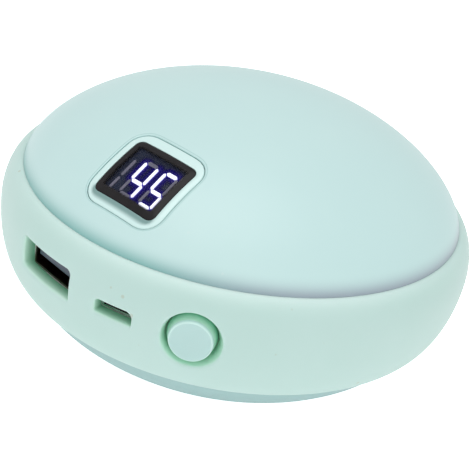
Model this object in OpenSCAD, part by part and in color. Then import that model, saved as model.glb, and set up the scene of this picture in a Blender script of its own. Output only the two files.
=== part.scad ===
// Rechargeable hand warmer: a round pebble of two domed covers joined by a soft side band,
// with a temperature display in the top cover, and a charging output, a charging input
// and a power button side by side at the front of the band.
// -Y is the front, +X is to the right of the display, +Z is up, and it rests on z = 0.

/* [Body] */
// Width of the pebble over the band
body_d = 96; // [94:1:104]
// Height of the base cover, from its flat foot to the lower seam
base_h = 10.2; // [10:0.1:11]
// Height of the band below its widest line
band_lower_h = 13.8; // [13.5:0.1:16]
// Height of the band above its widest line
band_upper_h = 7.6; // [7:0.2:9]
// Rise of the top cover above the upper seam
dome_h = 19.5; // [19:0.5:23]
// Drop that the base cover would have without its flat foot
base_full_h = 17.2; // [16:0.4:18]
// How far the upper seam lies inside the widest line
top_inset = 3.7; // [3:0.1:4]
// How far the lower seam lies inside the widest line
base_inset = 5.8; // [5:0.1:6]
// Wall of both covers
cover_wall = 1.8; // [1.4:0.1:2]
// Fullness of the domes, as the power of their profile
dome_full_share = 0.66; // [0.6:0.01:0.7]

/* [Band and frame] */
// Thickness of the soft band
band_t = 2.6; // [2.4:0.1:2.8]
// Wall of the mid frame
frame_t = 1.6; // [1.4:0.1:1.8]
// Gap between pieces that fit inside each other
fit_gap = 0.1; // [0.06:0.01:0.14]
// Depth of the shadow line at both seams
seam_groove = 0.25; // [0.1:0.05:0.4]
// Height of the skirts that locate the covers in the frame
skirt_h = 2.4; // [2:0.1:2.5]
// Thickness of the skirts and of the rims that carry them
skirt_t = 1.5; // [1.2:0.1:1.8]
// Height of the upper face of the frame's deck above the foot
deck_top_z = 15.6; // [15.4:0.1:15.6]
// Thickness of the deck
deck_t = 1.6; // [1.4:0.1:1.7]

/* [Ports] */
// Turn of the output port round the pebble, from the display
usb_turn = -12; // [-16:0.5:-10]
// Turn of the input port
micro_turn = 8.3; // [7:0.1:9]
// Turn of the button
button_turn = 25.6; // [25:0.1:30]
// Drop of the output port below the widest line
port_drop = 0.7; // [0.4:0.1:1]
// Drop of the input port below the output port
micro_drop = 0.6; // [0.4:0.1:0.8]
// Depth from the band's face to the front of the sockets
port_setback = 3; // [2.9:0.1:3.4]
// Width of the mouth of the output port
usb_mouth_w = 14.2; // [13.6:0.1:14.6]
// Height of the mouth of the output port
usb_mouth_h = 6.2; // [6.1:0.1:7]
// Width of the metal shell of the output port
usb_shell_w = 13.1; // [13:0.1:13.3]
// Height of the metal shell of the output port
usb_shell_h = 5.7; // [5.6:0.1:5.8]
// Length of the metal shell of the output port
usb_shell_l = 14; // [12:0.5:15]
// Width of the mouth of the input port
micro_mouth_w = 7.6; // [7.4:0.1:8.4]
// Height of the mouth of the input port
micro_mouth_h = 2.8; // [2.8:0.1:3.4]
// Width of the metal shell of the input port
micro_shell_w = 7.5; // [7.3:0.1:7.6]
// Height of the metal shell of the input port
micro_shell_h = 2.6; // [2.5:0.1:2.7]
// Length of the metal shell of the input port
micro_shell_l = 5.4; // [5:0.1:6]

/* [Button] */
// Width of the button's hole at the face of the band
button_hole_d = 11.2; // [10.8:0.1:11.8]
// Width of the button's face
button_d = 8.2; // [7.8:0.1:8.6]
// Width of the barrel behind the face
barrel_d = 9; // [8.8:0.1:9.2]
// Travel of the button
button_travel = 0.6; // [0.3:0.1:0.8]
// Drop of the button below the output port
button_drop = 1.2; // [0.9:0.1:1.3]

/* [Display] */
// Distance of the display's middle behind the front of the band
display_back = 13.6; // [12.4:0.2:14]
// Tilt of the display towards the front
display_tilt = 33; // [32:0.5:35]
// Twist of the display on its own axis
display_twist = -4; // [-6:0.5:6]
// Width of the frame round the display
bezel_w = 17.2; // [16.4:0.1:18]
// Length of the frame round the display
bezel_l = 17.2; // [16:0.1:17.6]
// Corner radius of the frame round the display
bezel_r = 3.8; // [2.5:0.1:4.5]
// Width of the dark window
window_w = 14.2; // [13.6:0.1:14.2]
// Length of the dark window
window_l = 13; // [12:0.1:13]
// Corner radius of the dark window
window_r = 1.4; // [0.8:0.1:2]
// Height of a digit
digit_h = 7.6; // [6.4:0.1:7.8]
// Slant of the digits
digit_slant = 0; // [0:1:6]

/* [Power] */
// Length of the battery cell
cell_l = 54; // [48:1:54]
// Width of the battery cell
cell_w = 44; // [38:1:44]
// Thickness of the battery cell
cell_t = 9; // [7:0.5:9]
// Radius of the heating films
heater_r = 28; // [24:0.5:28]
// Thickness of the heating films
heater_t = 0.3; // [0.2:0.05:0.4]
// Thickness of the circuit board
board_t = 1.2; // [1:0.1:1.4]

/* [Hidden] */

cover_colour = [0.76, 0.88, 0.88];
band_colour = [0.74, 0.87, 0.84];
metal_colour = [0.75, 0.75, 0.77];

// Smoothness of the turned shells, and of the arcs in their profiles
round_fn = 120;
arc_steps = 24;
small_fn = 48;

// Levels and half sizes of the pebble
half_d = body_d / 2;
seam_lo_z = base_h;
mid_z = seam_lo_z + band_lower_h;
seam_hi_z = mid_z + band_upper_h;
top_z = seam_hi_z + dome_h;
rim_hi = half_d - top_inset;
rim_lo = half_d - base_inset;
frame_out = band_t + fit_gap;
frame_in = frame_out + frame_t;
skirt_hi = rim_hi - frame_in - fit_gap;
skirt_lo = rim_lo - frame_in - fit_gap;
snap_r = skirt_t / 4;
overrun = band_t;

// Board and port levels
port_z = mid_z - port_drop;
button_z = port_z - button_drop;
micro_z = port_z - micro_drop;
board_top_z = micro_z - micro_shell_h / 2;
board_z = board_top_z - board_t;
board_edge = half_d - frame_in - board_t;
board_back_y = -half_d * 0.18;
board_gap = fit_gap * 2;

// Sockets
shell_wall = 0.3;
usb_mouth_r = 0.7;
usb_shell_r = 0.5;
usb_recess = 1.5;
usb_tongue_w = usb_shell_w - 2;
usb_tongue_l = usb_shell_l * 0.62;
usb_tongue_t = usb_shell_h * 0.32;
usb_tongue_lift = usb_shell_h * 0.13;
usb_ear_w = 1.4;
usb_ear_l = 3;
usb_contacts = 4;
usb_contact_w = usb_tongue_w / 10;
usb_contact_t = shell_wall / 2;
micro_mouth_r = 1.1;
micro_mouth_low_r = 0.4;
micro_tongue_w = micro_shell_w / 2;
micro_tongue_t = micro_shell_h / 4;
micro_recess = shell_wall;
micro_block_l = micro_shell_l / 3;
micro_contacts = 5;
micro_contact_w = micro_tongue_w / 14;
micro_contact_t = shell_wall / 3;

// Button and switch, as depths behind the face of the band
button_edge = 0.35;
button_cone = band_t - fit_gap;
hole_back_d = barrel_d + 3 * board_gap;
guide_d = barrel_d + 2 * fit_gap + 2 * frame_t;
guide_end = frame_in + frame_t;
flange_d = guide_d - frame_t;
flange_start = guide_end + 3 * fit_gap;
flange_t = frame_t / 2;
flange_end = flange_start + flange_t;
plunger_d = 2.2;
plunger_start = flange_end + fit_gap / 2;
plunger_l = 2.6;
switch_start = plunger_start + button_travel + 3 * fit_gap;
switch_w = 6;
switch_h = 3.5;
switch_l = 3.6;
switch_lug_w = 1.2;
flange_notch_w = flange_d + 8 * board_gap;
flange_notch_end = flange_end + button_travel + 2 * board_gap;

// Display, as depths below the top cover's face
bezel_sink = fit_gap;
bezel_t = cover_wall + frame_t / 4;
lens_sink = fit_gap * 1.5;
lens_t = 0.45;
lens_back = lens_sink + lens_t;
ledge = 0.5;
tube_wall = 0.9;
module_face = 1.4;
module_t = 4.6;
module_w = window_w - 2 * ledge - 2 * fit_gap;
module_l = window_l - 2 * ledge - 2 * fit_gap;
tube_end = module_face + module_t;
bar_t = 0.2;
bar_w = digit_h * 0.105;
digit_w = digit_h * 0.36;
digit_pitch = digit_h * 0.605;
digits_x = -digit_h * 0.165;
digits_y = -digit_h * 0.066;
cable_w = module_w / 2;
cable_t = heater_t;
display_y = half_d - display_back;
display_z = dome_height(0, display_y, 0);
// Places of the seven bars of a digit, as shares of its width and height, and their turn
bar_shares = [[0, 0.5, 0], [0.5, 0.25, 90], [0.5, -0.25, 90], [0, -0.5, 0],
  [-0.5, -0.25, 90], [-0.5, 0.25, 90], [0, 0, 0]];

// Battery, heaters and cushions
pad_t = 0.8;
cell_top_z = deck_top_z - deck_t - pad_t;
cell_z = cell_top_z - cell_t;
cell_corner = 4;
guard_t = 1.2;
guard_l = cell_w * 0.7;
guard_h = cell_t * 0.8;
tray_wall = 1.2;
tray_h = 1.7;
tray_gap = fit_gap * 3;
floor_z = cover_wall + fit_gap / 2;
insulation_z = floor_z + heater_t + fit_gap / 2;
insulation_t = cell_z - insulation_z - fit_gap;
tray_half_l = cell_l / 2 + guard_t + tray_gap + tray_wall;
tray_half_w = cell_w / 2 + tray_gap + tray_wall;

// Screws and posts: the cover's stand beside the tray, the board's at shares of the body's radius
post_clear = 1.1;
board_post_shares = [[-0.6, -0.3], [0.6, -0.3], [0, -0.37]];
cover_post_d = 6.4;
board_post_d = 5;
screw_gap = fit_gap / 2;
cover_screw_d = 2.4;
cover_screw_l = 8;
cover_head_d = 4.6;
cover_head_h = 1.5;
board_screw_d = 2;
board_screw_l = 4;
board_head_d = 3.6;
board_head_h = 1.2;
driver_share = 0.45;
post_x = tray_half_l + cover_head_d / 2 + post_clear;
post_y = tray_half_w + cover_head_d / 2 + post_clear;
post_low_y = -half_d * 0.09;
post_high_x = half_d * 0.4;
cover_post_spots = [[-post_x, post_low_y], [post_x, post_low_y], [-post_high_x, post_y],
  [post_high_x, post_y]];

// Parts on the board: places as shares of the body's radius
socket_shares = [-0.46, -0.21, 0.21, 0.46];
socket_w = 6;
socket_l = 4;
socket_h = 4.4;
socket_y = board_back_y - socket_l - board_t;
inductor_share = [0.43, -0.5];
inductor_w = 8.6;
inductor_h = 4.4;
chip_shares = [[0.17, -0.62], [-0.44, -0.5], [0.24, -0.43]];
chip_sizes = [[6, 5, 1.6], [5, 6, 1.6], [5, 4, 1.2]];
chip_lead = 0.6;
capacitor_shares = [[0.59, -0.47], [-0.57, -0.5]];
capacitor_d = 5;
capacitor_h = 5.6;

// Wires
wire_d = 1.2;
thin_wire_d = 0.9;
wire_step = 2.4;
wire_sides = 8;
wire_steps = 5;
wire_side = [0.96, 0.2, 0.2];
slot_w = 6;
slot_l = 8;
slot_corner = slot_w / 4;
slot_x = tray_half_l + slot_w / 2 + 2 * tray_gap;
slot_y = half_d * 0.22;
sensor_share = [0.22, 0.1];
sensor_d = 2.2;
upper_pad_share = [-0.12, 0.26];
lower_pad_share = [-0.52, 0.22];

// Height of the top cover's face, or of a layer inset below it, over a point of the plan
function dome_height(x, y, inset) = seam_hi_z + (dome_h - inset)
  * pow(max(0, 1 - (pow(x, 2) + pow(y, 2)) / pow(rim_hi - inset, 2)), dome_full_share);

// Half profile of a dome: radius a, rise h
function dome_points(a, h) = [for (i = [0:arc_steps])
  let (t = 90 * i / arc_steps) [a * sin(t), h * pow(cos(t), 2 * dome_full_share)]];

// Half profile of the band, moved in by an inset
function band_points(inset) = concat(
  inset > 0 ? [[rim_hi - inset, seam_hi_z]] : [],
  [for (i = [0:arc_steps]) let (t = 90 * i / arc_steps)
    [rim_hi - inset + top_inset * sin(t), mid_z + (band_upper_h - inset) * cos(t)]],
  [for (i = [arc_steps - 1:-1:0]) let (t = 90 * i / arc_steps)
    [rim_lo - inset + base_inset * sin(t), mid_z - (band_lower_h - inset) * cos(t)]],
  inset > 0 ? [[rim_lo - inset, seam_lo_z]] : []);

function reversed(list) = [for (i = [len(list) - 1:-1:0]) list[i]];
function place(share) = half_d * share;

// Turns a half profile round the pebble's axis
module turned() {
  rotate_extrude($fn = round_fn) children();
}

module dome_area(inset) {
  translate([0, seam_hi_z])
    polygon(concat([[0, 0]], dome_points(rim_hi - inset, dome_h - inset)));
}

module base_area(inset) {
  intersection() {
    translate([0, seam_lo_z]) mirror([0, 1])
      polygon(concat([[0, 0]], dome_points(rim_lo - inset, base_full_h - inset)));
    translate([0, inset]) square([rim_lo, seam_lo_z]);
  }
}

module band_area(outer, inner) {
  polygon(concat(band_points(outer), reversed(band_points(inner))));
}

module core_area(inset) {
  polygon(concat([[0, seam_lo_z], [0, seam_hi_z]], band_points(inset)));
}

// Rectangle with its own radius for the upper and the lower corners
module soft_rectangle(w, h, upper_r, lower_r) {
  translate([-w / 2, lower_r - h / 2]) square([w, h - upper_r - lower_r]);
  translate([upper_r - w / 2, h / 2 - upper_r]) square([w - 2 * upper_r, upper_r]);
  translate([lower_r - w / 2, -h / 2]) square([w - 2 * lower_r, lower_r]);
  for (s = [-1, 1]) {
    translate([s * (w / 2 - upper_r), h / 2 - upper_r]) circle(r = upper_r, $fn = small_fn);
    translate([s * (w / 2 - lower_r), lower_r - h / 2]) circle(r = lower_r, $fn = small_fn);
  }
}

// Moves to the face of the band at a turn and height, with +Y pointing straight in
module at_port(turn, z) {
  rotate(turn) translate([0, -half_d, z]) children();
}

// Extrudes a shape drawn across the port, from one depth to another
module port_prism(start, end) {
  translate([0, end, 0]) rotate([90, 0, 0]) linear_extrude(height = end - start) children();
}

// Round solid along the port's axis
module port_round(d, start, end) {
  translate([0, start, 0]) rotate([-90, 0, 0]) cylinder(d = d, h = end - start, $fn = small_fn);
}

// Moves to the display's middle on the top cover, with +Z pointing out of it
module at_display() {
  translate([0, -display_y, display_z]) rotate([display_tilt, 0, 0]) rotate(display_twist)
    children();
}

module display_prism(w, l, r, start, end) {
  at_display() translate([0, 0, -end])
    linear_extrude(height = end - start) soft_rectangle(w, l, r, r);
}

module cover_posts() {
  for (spot = cover_post_spots)
    translate([spot[0], spot[1], deck_top_z])
      cylinder(d = cover_post_d, h = top_z - deck_top_z, $fn = small_fn);
}

function unit(v) = v / norm(v);

// Points of a smooth run through a list of points, which keeps its first and last ones
function smooth_run(points) = let (last = len(points) - 1) concat(
  [for (i = [0:last - 1], k = [0:wire_steps - 1])
    let (u = k / wire_steps, a = points[max(i - 1, 0)], b = points[i],
      c = points[i + 1], d = points[min(i + 2, last)])
    b + u * (c - a) / 2 + pow(u, 2) * (a - 2.5 * b + 2 * c - d / 2)
      + pow(u, 3) * (3 * b - a - 3 * c + d) / 2],
  [points[last]]);

// Wire swept along a smooth run: a ring of points round each of its places
module wire(points, d) {
  run = smooth_run(points);
  last = len(run) - 1;
  rings = [for (i = [0:last])
    let (along = unit(run[min(i + 1, last)] - run[max(i - 1, 0)]),
      side = unit(cross(along, wire_side)), up = cross(along, side))
    for (k = [0:wire_sides - 1]) let (t = 360 * k / wire_sides)
      run[i] + d / 2 * (cos(t) * side + sin(t) * up)];
  polyhedron(rings, concat(
    [[for (k = [wire_sides - 1:-1:0]) k]],
    [for (i = [0:last - 1], k = [0:wire_sides - 1]) let (n = (k + 1) % wire_sides)
      [i * wire_sides + k, i * wire_sides + n, (i + 1) * wire_sides + n, (i + 1) * wire_sides + k]],
    [[for (k = [0:wire_sides - 1]) last * wire_sides + k]]));
}

// Half profile of the top cover, with the rim and skirt that sit in the frame
module top_cover_area() {
  difference() {
    dome_area(0);
    dome_area(cover_wall);
    translate([rim_hi - seam_groove, seam_hi_z - seam_groove]) square(2 * seam_groove);
  }
  translate([skirt_hi - skirt_t, seam_hi_z])
    square([rim_hi - cover_wall - skirt_hi + skirt_t, skirt_t]);
  translate([skirt_hi - skirt_t, seam_hi_z - skirt_h]) square([skirt_t, skirt_h + skirt_t]);
}

module top_cover() {
  color(cover_colour)
  difference() {
    union() {
      turned() top_cover_area();
      intersection() {
        cover_posts();
        turned() union() {
          dome_area(cover_wall / 2);
          square([skirt_hi - skirt_t / 2, seam_hi_z]);
        }
      }
    }
    display_prism(bezel_w + 2 * fit_gap, bezel_l + 2 * fit_gap, bezel_r + fit_gap,
      -overrun, module_t);
    for (spot = cover_post_spots)
      translate([spot[0], spot[1], deck_top_z - overrun])
        cylinder(d = cover_screw_d + 2 * screw_gap, h = cover_screw_l + overrun, $fn = small_fn);
  }
}

module bottom_cover() {
  color(cover_colour)
  turned() union() {
    difference() {
      base_area(0);
      base_area(cover_wall);
      translate([rim_lo - seam_groove, seam_lo_z - seam_groove]) square(2 * seam_groove);
    }
    translate([skirt_lo - skirt_t, seam_lo_z - skirt_t])
      square([rim_lo - cover_wall - skirt_lo + skirt_t, skirt_t]);
    translate([skirt_lo - skirt_t, seam_lo_z - skirt_t]) square([skirt_t, skirt_h + skirt_t]);
    translate([skirt_lo, seam_lo_z + skirt_h / 2]) circle(r = snap_r, $fn = small_fn);
  }
}

module side_band() {
  color(band_colour)
  difference() {
    turned() band_area(0, band_t);
    at_port(usb_turn, port_z) port_prism(-overrun, 2 * overrun)
      soft_rectangle(usb_mouth_w, usb_mouth_h, usb_mouth_r, usb_mouth_r);
    at_port(micro_turn, micro_z) port_prism(-overrun, 2 * overrun)
      soft_rectangle(micro_mouth_w, micro_mouth_h, micro_mouth_r, micro_mouth_low_r);
    at_port(button_turn, button_z) {
      port_round(hole_back_d, -overrun, 2 * overrun);
      rotate([-90, 0, 0])
        cylinder(d1 = button_hole_d, d2 = hole_back_d, h = band_t, $fn = small_fn);
      port_round(button_hole_d, -overrun, 0);
    }
  }
}

// Half profile of the frame: its wall, with the groove for the snap bead, and its deck
module mid_frame_area() {
  difference() {
    union() {
      band_area(frame_out, frame_in);
      intersection() {
        core_area(frame_out + frame_t / 2);
        translate([0, deck_top_z - deck_t]) square([half_d, deck_t]);
      }
    }
    translate([skirt_lo, seam_lo_z + skirt_h / 2]) circle(r = snap_r + fit_gap, $fn = small_fn);
  }
}

module mid_frame() {
  color("White")
  difference() {
    union() {
      turned() mid_frame_area();
      intersection() {
        turned() core_area(frame_out + frame_t / 2);
        at_port(button_turn, button_z) port_round(guide_d, 0, guide_end);
      }
      for (share = board_post_shares)
        translate([place(share)[0], place(share)[1], deck_top_z - deck_t / 2])
          cylinder(d = board_post_d, h = board_z - deck_top_z + deck_t / 2, $fn = small_fn);
      translate([0, 0, deck_top_z - deck_t - tray_h])
        linear_extrude(height = tray_h + deck_t / 2) difference() {
          soft_rectangle(2 * tray_half_l, 2 * tray_half_w, cell_corner + tray_wall,
            cell_corner + tray_wall);
          soft_rectangle(cell_l + 2 * (tray_gap + guard_t), cell_w + 2 * tray_gap,
            cell_corner, cell_corner);
        }
    }
    at_port(usb_turn, port_z) port_prism(0, 2 * frame_in)
      soft_rectangle(usb_shell_w + 3 * board_gap, usb_shell_h + 3 * board_gap,
        usb_shell_r, usb_shell_r);
    at_port(micro_turn, micro_z) port_prism(0, 2 * frame_in)
      soft_rectangle(micro_shell_w + 3 * board_gap, micro_shell_h + 3 * board_gap,
        micro_mouth_low_r, micro_mouth_low_r);
    at_port(button_turn, button_z) {
      port_round(barrel_d + 2 * fit_gap, 0, 2 * guide_end);
      port_round(flange_d + 2 * board_gap, guide_end, 2 * guide_end);
    }
    for (spot = cover_post_spots)
      translate([spot[0], spot[1], deck_top_z - deck_t - overrun])
        cylinder(d = cover_screw_d + 2 * board_gap, h = deck_t + 2 * overrun, $fn = small_fn);
    for (share = board_post_shares)
      translate([place(share)[0], place(share)[1], deck_top_z])
        cylinder(d = board_screw_d + 2 * screw_gap, h = board_z, $fn = small_fn);
    for (s = [-1, 1])
      translate([s * slot_x, slot_y, deck_top_z - deck_t - overrun])
        linear_extrude(height = deck_t + 2 * overrun)
          soft_rectangle(slot_w, slot_l, slot_corner, slot_corner);
  }
}

module display_bezel() {
  color(band_colour)
  union() {
    difference() {
      intersection() {
        turned() dome_area(bezel_sink);
        display_prism(bezel_w, bezel_l, bezel_r, -overrun, tube_end);
      }
      turned() dome_area(bezel_t);
      display_prism(window_w, window_l, window_r, -overrun, tube_end + overrun);
    }
    difference() {
      intersection() {
        turned() dome_area(lens_back + screw_gap);
        display_prism(window_w + 2 * tube_wall, window_l + 2 * tube_wall,
          window_r + tube_wall, -overrun, tube_end);
      }
      display_prism(window_w - 2 * ledge, window_l - 2 * ledge, window_r,
        -overrun, tube_end + overrun);
    }
  }
}

module display_lens() {
  color([0.12, 0.13, 0.15])
  difference() {
    intersection() {
      turned() dome_area(lens_sink);
      display_prism(window_w - fit_gap, window_l - fit_gap, window_r, -overrun, tube_end);
    }
    turned() dome_area(lens_back);
  }
}

module display_module() {
  color([0.16, 0.16, 0.18])
  display_prism(module_w, module_l, window_r, module_face, tube_end);
}

// One bar of a digit, pointed at both ends
module digit_bar(length) {
  half = length / 2;
  tip = bar_w / 2;
  polygon([[-half, 0], [tip - half, tip], [half - tip, tip], [half, 0],
    [half - tip, -tip], [tip - half, -tip]]);
}

// The leading one has two bars and the two other digits seven each
module segment_bars() {
  color([0.85, 0.88, 0.95])
  at_display() translate([digits_x, digits_y, -module_face]) linear_extrude(height = bar_t)
    multmatrix([[1, tan(digit_slant), 0, 0], [0, 1, 0, 0], [0, 0, 1, 0], [0, 0, 0, 1]])
      for (digit = [-1:1], bar = digit < 0 ? [1, 2] : [0:6])
        translate([digit * digit_pitch + bar_shares[bar][0] * digit_w, bar_shares[bar][1] * digit_h])
          rotate(bar_shares[bar][2])
            digit_bar((bar_shares[bar][2] > 0 ? digit_h / 2 : digit_w) - bar_w / 2);
}

module display_cable() {
  back = tube_end + screw_gap;
  back_y = -display_y + back * sin(display_tilt);
  back_z = display_z - back * cos(display_tilt);
  foot_y = back_y + cable_w / 2;
  color([0.8, 0.5, 0.2])
  rotate([90, 0, 90]) translate([0, 0, -cable_w / 2]) linear_extrude(height = cable_w)
    polygon([[back_y, back_z], [foot_y, back_z - cable_w], [foot_y, board_top_z + cable_t],
      [foot_y + cable_w / 2, board_top_z + cable_t], [foot_y + cable_w / 2, board_top_z],
      [foot_y - cable_t, board_top_z], [foot_y - cable_t, back_z - cable_w],
      [back_y - cable_t, back_z - cable_t * sin(display_tilt)]]);
}

// Face, coned side, barrel and flange of the button, from the face inwards
module power_button() {
  face_r = button_d / 2;
  barrel_r = barrel_d / 2;
  color(band_colour)
  at_port(button_turn, button_z) rotate([-90, 0, 0]) rotate_extrude($fn = small_fn)
    polygon(concat([[0, 0]],
      [for (t = [0:15:90]) [face_r - button_edge * (1 - sin(t)), button_edge * (1 - cos(t))]],
      [[barrel_r, button_cone], [barrel_r, flange_start], [flange_d / 2, flange_start],
        [flange_d / 2, flange_end], [0, flange_end]]));
}

module switch_plunger() {
  color("DimGray")
  at_port(button_turn, button_z) port_round(plunger_d, plunger_start, plunger_start + plunger_l);
}

module switch_body() {
  color("Gray")
  at_port(button_turn, button_z) difference() {
    union() {
      translate([-switch_w / 2, switch_start, -switch_h / 2]) cube([switch_w, switch_l, switch_h]);
      translate([-switch_w / 2 - switch_lug_w, switch_start + switch_l / 4, board_top_z - button_z])
        cube([switch_w + 2 * switch_lug_w, switch_l / 2, shell_wall]);
    }
    port_round(plunger_d + 2 * board_gap, switch_start - overrun,
      plunger_start + plunger_l + button_travel + board_gap);
  }
}

module circuit_board() {
  color([0.1, 0.35, 0.22])
  difference() {
    translate([0, 0, board_z]) linear_extrude(height = board_t) difference() {
      circle(r = board_edge, $fn = round_fn);
      translate([-half_d, board_back_y]) square(body_d);
    }
    at_port(usb_turn, port_z) port_prism(0, port_setback + usb_shell_l + board_gap)
      square([usb_shell_w + 2 * board_gap, half_d], center = true);
    at_port(button_turn, button_z) {
      port_prism(0, flange_notch_end) square([flange_notch_w, half_d], center = true);
      port_prism(0, switch_start + switch_l + board_gap)
        square([switch_w + 2 * board_gap, half_d], center = true);
    }
    for (share = board_post_shares)
      translate([place(share)[0], place(share)[1], board_z - overrun])
        cylinder(d = board_screw_d + 2 * board_gap, h = board_t + 2 * overrun, $fn = small_fn);
  }
}

module usb_a_shell() {
  color(metal_colour)
  at_port(usb_turn, port_z) {
    port_prism(port_setback, port_setback + usb_shell_l) difference() {
      soft_rectangle(usb_shell_w, usb_shell_h, usb_shell_r, usb_shell_r);
      soft_rectangle(usb_shell_w - 2 * shell_wall, usb_shell_h - 2 * shell_wall,
        usb_shell_r - shell_wall, usb_shell_r - shell_wall);
    }
    for (side = [-1, 1], share = [0.45, 0.8])
      translate([side * (usb_shell_w + usb_ear_w - shell_wall) / 2,
          port_setback + share * usb_shell_l, board_top_z - port_z + shell_wall / 2])
        cube([usb_ear_w + shell_wall, usb_ear_l, shell_wall], center = true);
  }
}

module usb_a_tongue() {
  inner_w = usb_shell_w - 2 * (shell_wall + screw_gap);
  inner_h = usb_shell_h - 2 * (shell_wall + screw_gap);
  back = port_setback + usb_shell_l - shell_wall;
  color([0.28, 0.32, 0.42])
  at_port(usb_turn, port_z) {
    port_prism(port_setback + usb_recess + usb_tongue_l, back)
      square([inner_w, inner_h], center = true);
    translate([0, 0, usb_tongue_lift])
      port_prism(port_setback + usb_recess, port_setback + usb_recess + usb_tongue_l)
        square([usb_tongue_w, usb_tongue_t], center = true);
  }
}

module usb_a_contacts() {
  pitch = usb_tongue_w / usb_contacts;
  color("Gold")
  at_port(usb_turn, port_z)
    for (i = [0:usb_contacts - 1])
      translate([(i - (usb_contacts - 1) / 2) * pitch - usb_contact_w / 2,
          port_setback + usb_recess + usb_contact_w,
          usb_tongue_lift - usb_tongue_t / 2 - usb_contact_t])
        cube([usb_contact_w, usb_tongue_l - usb_contact_w, usb_contact_t]);
}

module micro_usb_shell() {
  color(metal_colour)
  at_port(micro_turn, micro_z) port_prism(port_setback, port_setback + micro_shell_l) difference() {
    soft_rectangle(micro_shell_w, micro_shell_h, micro_mouth_r - shell_wall, micro_mouth_low_r);
    soft_rectangle(micro_shell_w - 2 * shell_wall, micro_shell_h - 2 * shell_wall,
      micro_mouth_r - 2 * shell_wall, micro_mouth_low_r - shell_wall);
  }
}

module micro_usb_tongue() {
  inner_w = micro_shell_w - 2 * micro_mouth_r;
  inner_h = micro_shell_h - 2 * (shell_wall + screw_gap);
  block = port_setback + micro_shell_l - micro_block_l;
  color([0.12, 0.12, 0.13])
  at_port(micro_turn, micro_z) {
    port_prism(block, port_setback + micro_shell_l) square([inner_w, inner_h], center = true);
    port_prism(port_setback + micro_recess, block)
      square([micro_tongue_w, micro_tongue_t], center = true);
  }
}

module micro_usb_contacts() {
  pitch = micro_tongue_w / micro_contacts;
  color("Gold")
  at_port(micro_turn, micro_z)
    for (i = [0:micro_contacts - 1])
      translate([(i - (micro_contacts - 1) / 2) * pitch - micro_contact_w / 2,
          port_setback + 2 * micro_recess, -micro_tongue_t / 2 - micro_contact_t])
        cube([micro_contact_w, micro_shell_l - micro_block_l - 2 * micro_recess, micro_contact_t]);
}

module battery_cell() {
  color([0.7, 0.72, 0.75])
  translate([0, 0, cell_z]) linear_extrude(height = cell_t)
    soft_rectangle(cell_l, cell_w, cell_corner, cell_corner);
}

module battery_guard_board() {
  color([0.1, 0.35, 0.22])
  translate([cell_l / 2, -guard_l / 2, cell_z + (cell_t - guard_h) / 2])
    cube([guard_t, guard_l, guard_h]);
}

module battery_pads() {
  color("DimGray")
  for (s = [-1, 1])
    translate([s * cell_l / 4, 0, cell_top_z + pad_t / 2])
      cube([cell_l / 4, cell_w * 0.8, pad_t], center = true);
}

// Both leads leave the guard board, pass the slot in the deck and end in their socket
module battery_leads() {
  slot = [slot_x, slot_y];
  goal = [socket_shares[3] * half_d, socket_y + socket_l + wire_d / 2, board_top_z + socket_h / 2];
  for (s = [-1, 1]) color(s > 0 ? "Red" : "Black")
    wire([[cell_l / 2 + guard_t + wire_d / 2, slot[1] + s * wire_step / 2, cell_z + cell_t / 2],
      [slot[0], slot[1] + s * wire_step / 2, cell_top_z],
      [slot[0], slot[1] + s * wire_step / 2, board_z],
      [(slot[0] + goal[0]) / 2 - s * wire_step / 2, (slot[1] + goal[1]) / 2 + s * wire_step / 2,
        goal[2] + wire_step],
      [goal[0] - s * wire_step / 2, goal[1], goal[2]]], wire_d);
}

module upper_heater() {
  color([0.75, 0.45, 0.15])
  difference() {
    turned() intersection() {
      difference() {
        dome_area(cover_wall + screw_gap);
        dome_area(cover_wall + screw_gap + heater_t);
      }
      square([heater_r, top_z]);
    }
    translate([-half_d, -body_d - display_y + bezel_l, 0]) cube([body_d, body_d, top_z]);
  }
}

module lower_heater() {
  color([0.75, 0.45, 0.15])
  translate([0, 0, floor_z]) cylinder(r = heater_r, h = heater_t, $fn = round_fn);
}

module heater_insulation() {
  color([0.35, 0.36, 0.38])
  translate([0, 0, insulation_z])
    cylinder(r = heater_r - frame_t, h = insulation_t, $fn = round_fn);
}

// Two leads for each heating film
module heater_leads() {
  upper = place(upper_pad_share);
  lower = place(lower_pad_share);
  film_z = dome_height(upper[0], upper[1], cover_wall + heater_t) - thin_wire_d;
  upper_x = socket_shares[1] * half_d;
  lower_x = socket_shares[0] * half_d;
  goal_y = socket_y + socket_l + thin_wire_d / 2;
  goal_z = board_top_z + socket_h / 2;
  slot = [-slot_x, slot_y];
  color("White")
  for (s = [-1, 1]) {
    wire([[upper[0] + s * wire_step, upper[1], film_z],
      [upper[0] + s * wire_step, upper[1] - wire_step, film_z - wire_step],
      [upper_x + s * wire_step / 2, goal_y + 3 * wire_step, goal_z + 3 * wire_step],
      [upper_x + s * wire_step / 2, goal_y, goal_z]], thin_wire_d);
    wire([[lower[0] - wire_step, lower[1] + s * wire_step / 2, floor_z + heater_t + thin_wire_d],
      [slot[0] + wire_step, slot[1] + s * wire_step / 2, cell_z + wire_step],
      [slot[0] + wire_step, slot[1] + s * wire_step / 2, board_top_z],
      [lower_x + s * wire_step / 2, goal_y + 2 * wire_step, goal_z + wire_step],
      [lower_x + s * wire_step / 2, goal_y, goal_z]], thin_wire_d);
  }
}

module temperature_sensor() {
  spot = place(sensor_share);
  color([0.2, 0.2, 0.22])
  translate([spot[0], spot[1],
      dome_height(spot[0] + sensor_d / 2, spot[1] + sensor_d / 2, cover_wall + heater_t)
        - sensor_d - fit_gap])
    cylinder(d = sensor_d, h = sensor_d, $fn = small_fn);
}

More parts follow.
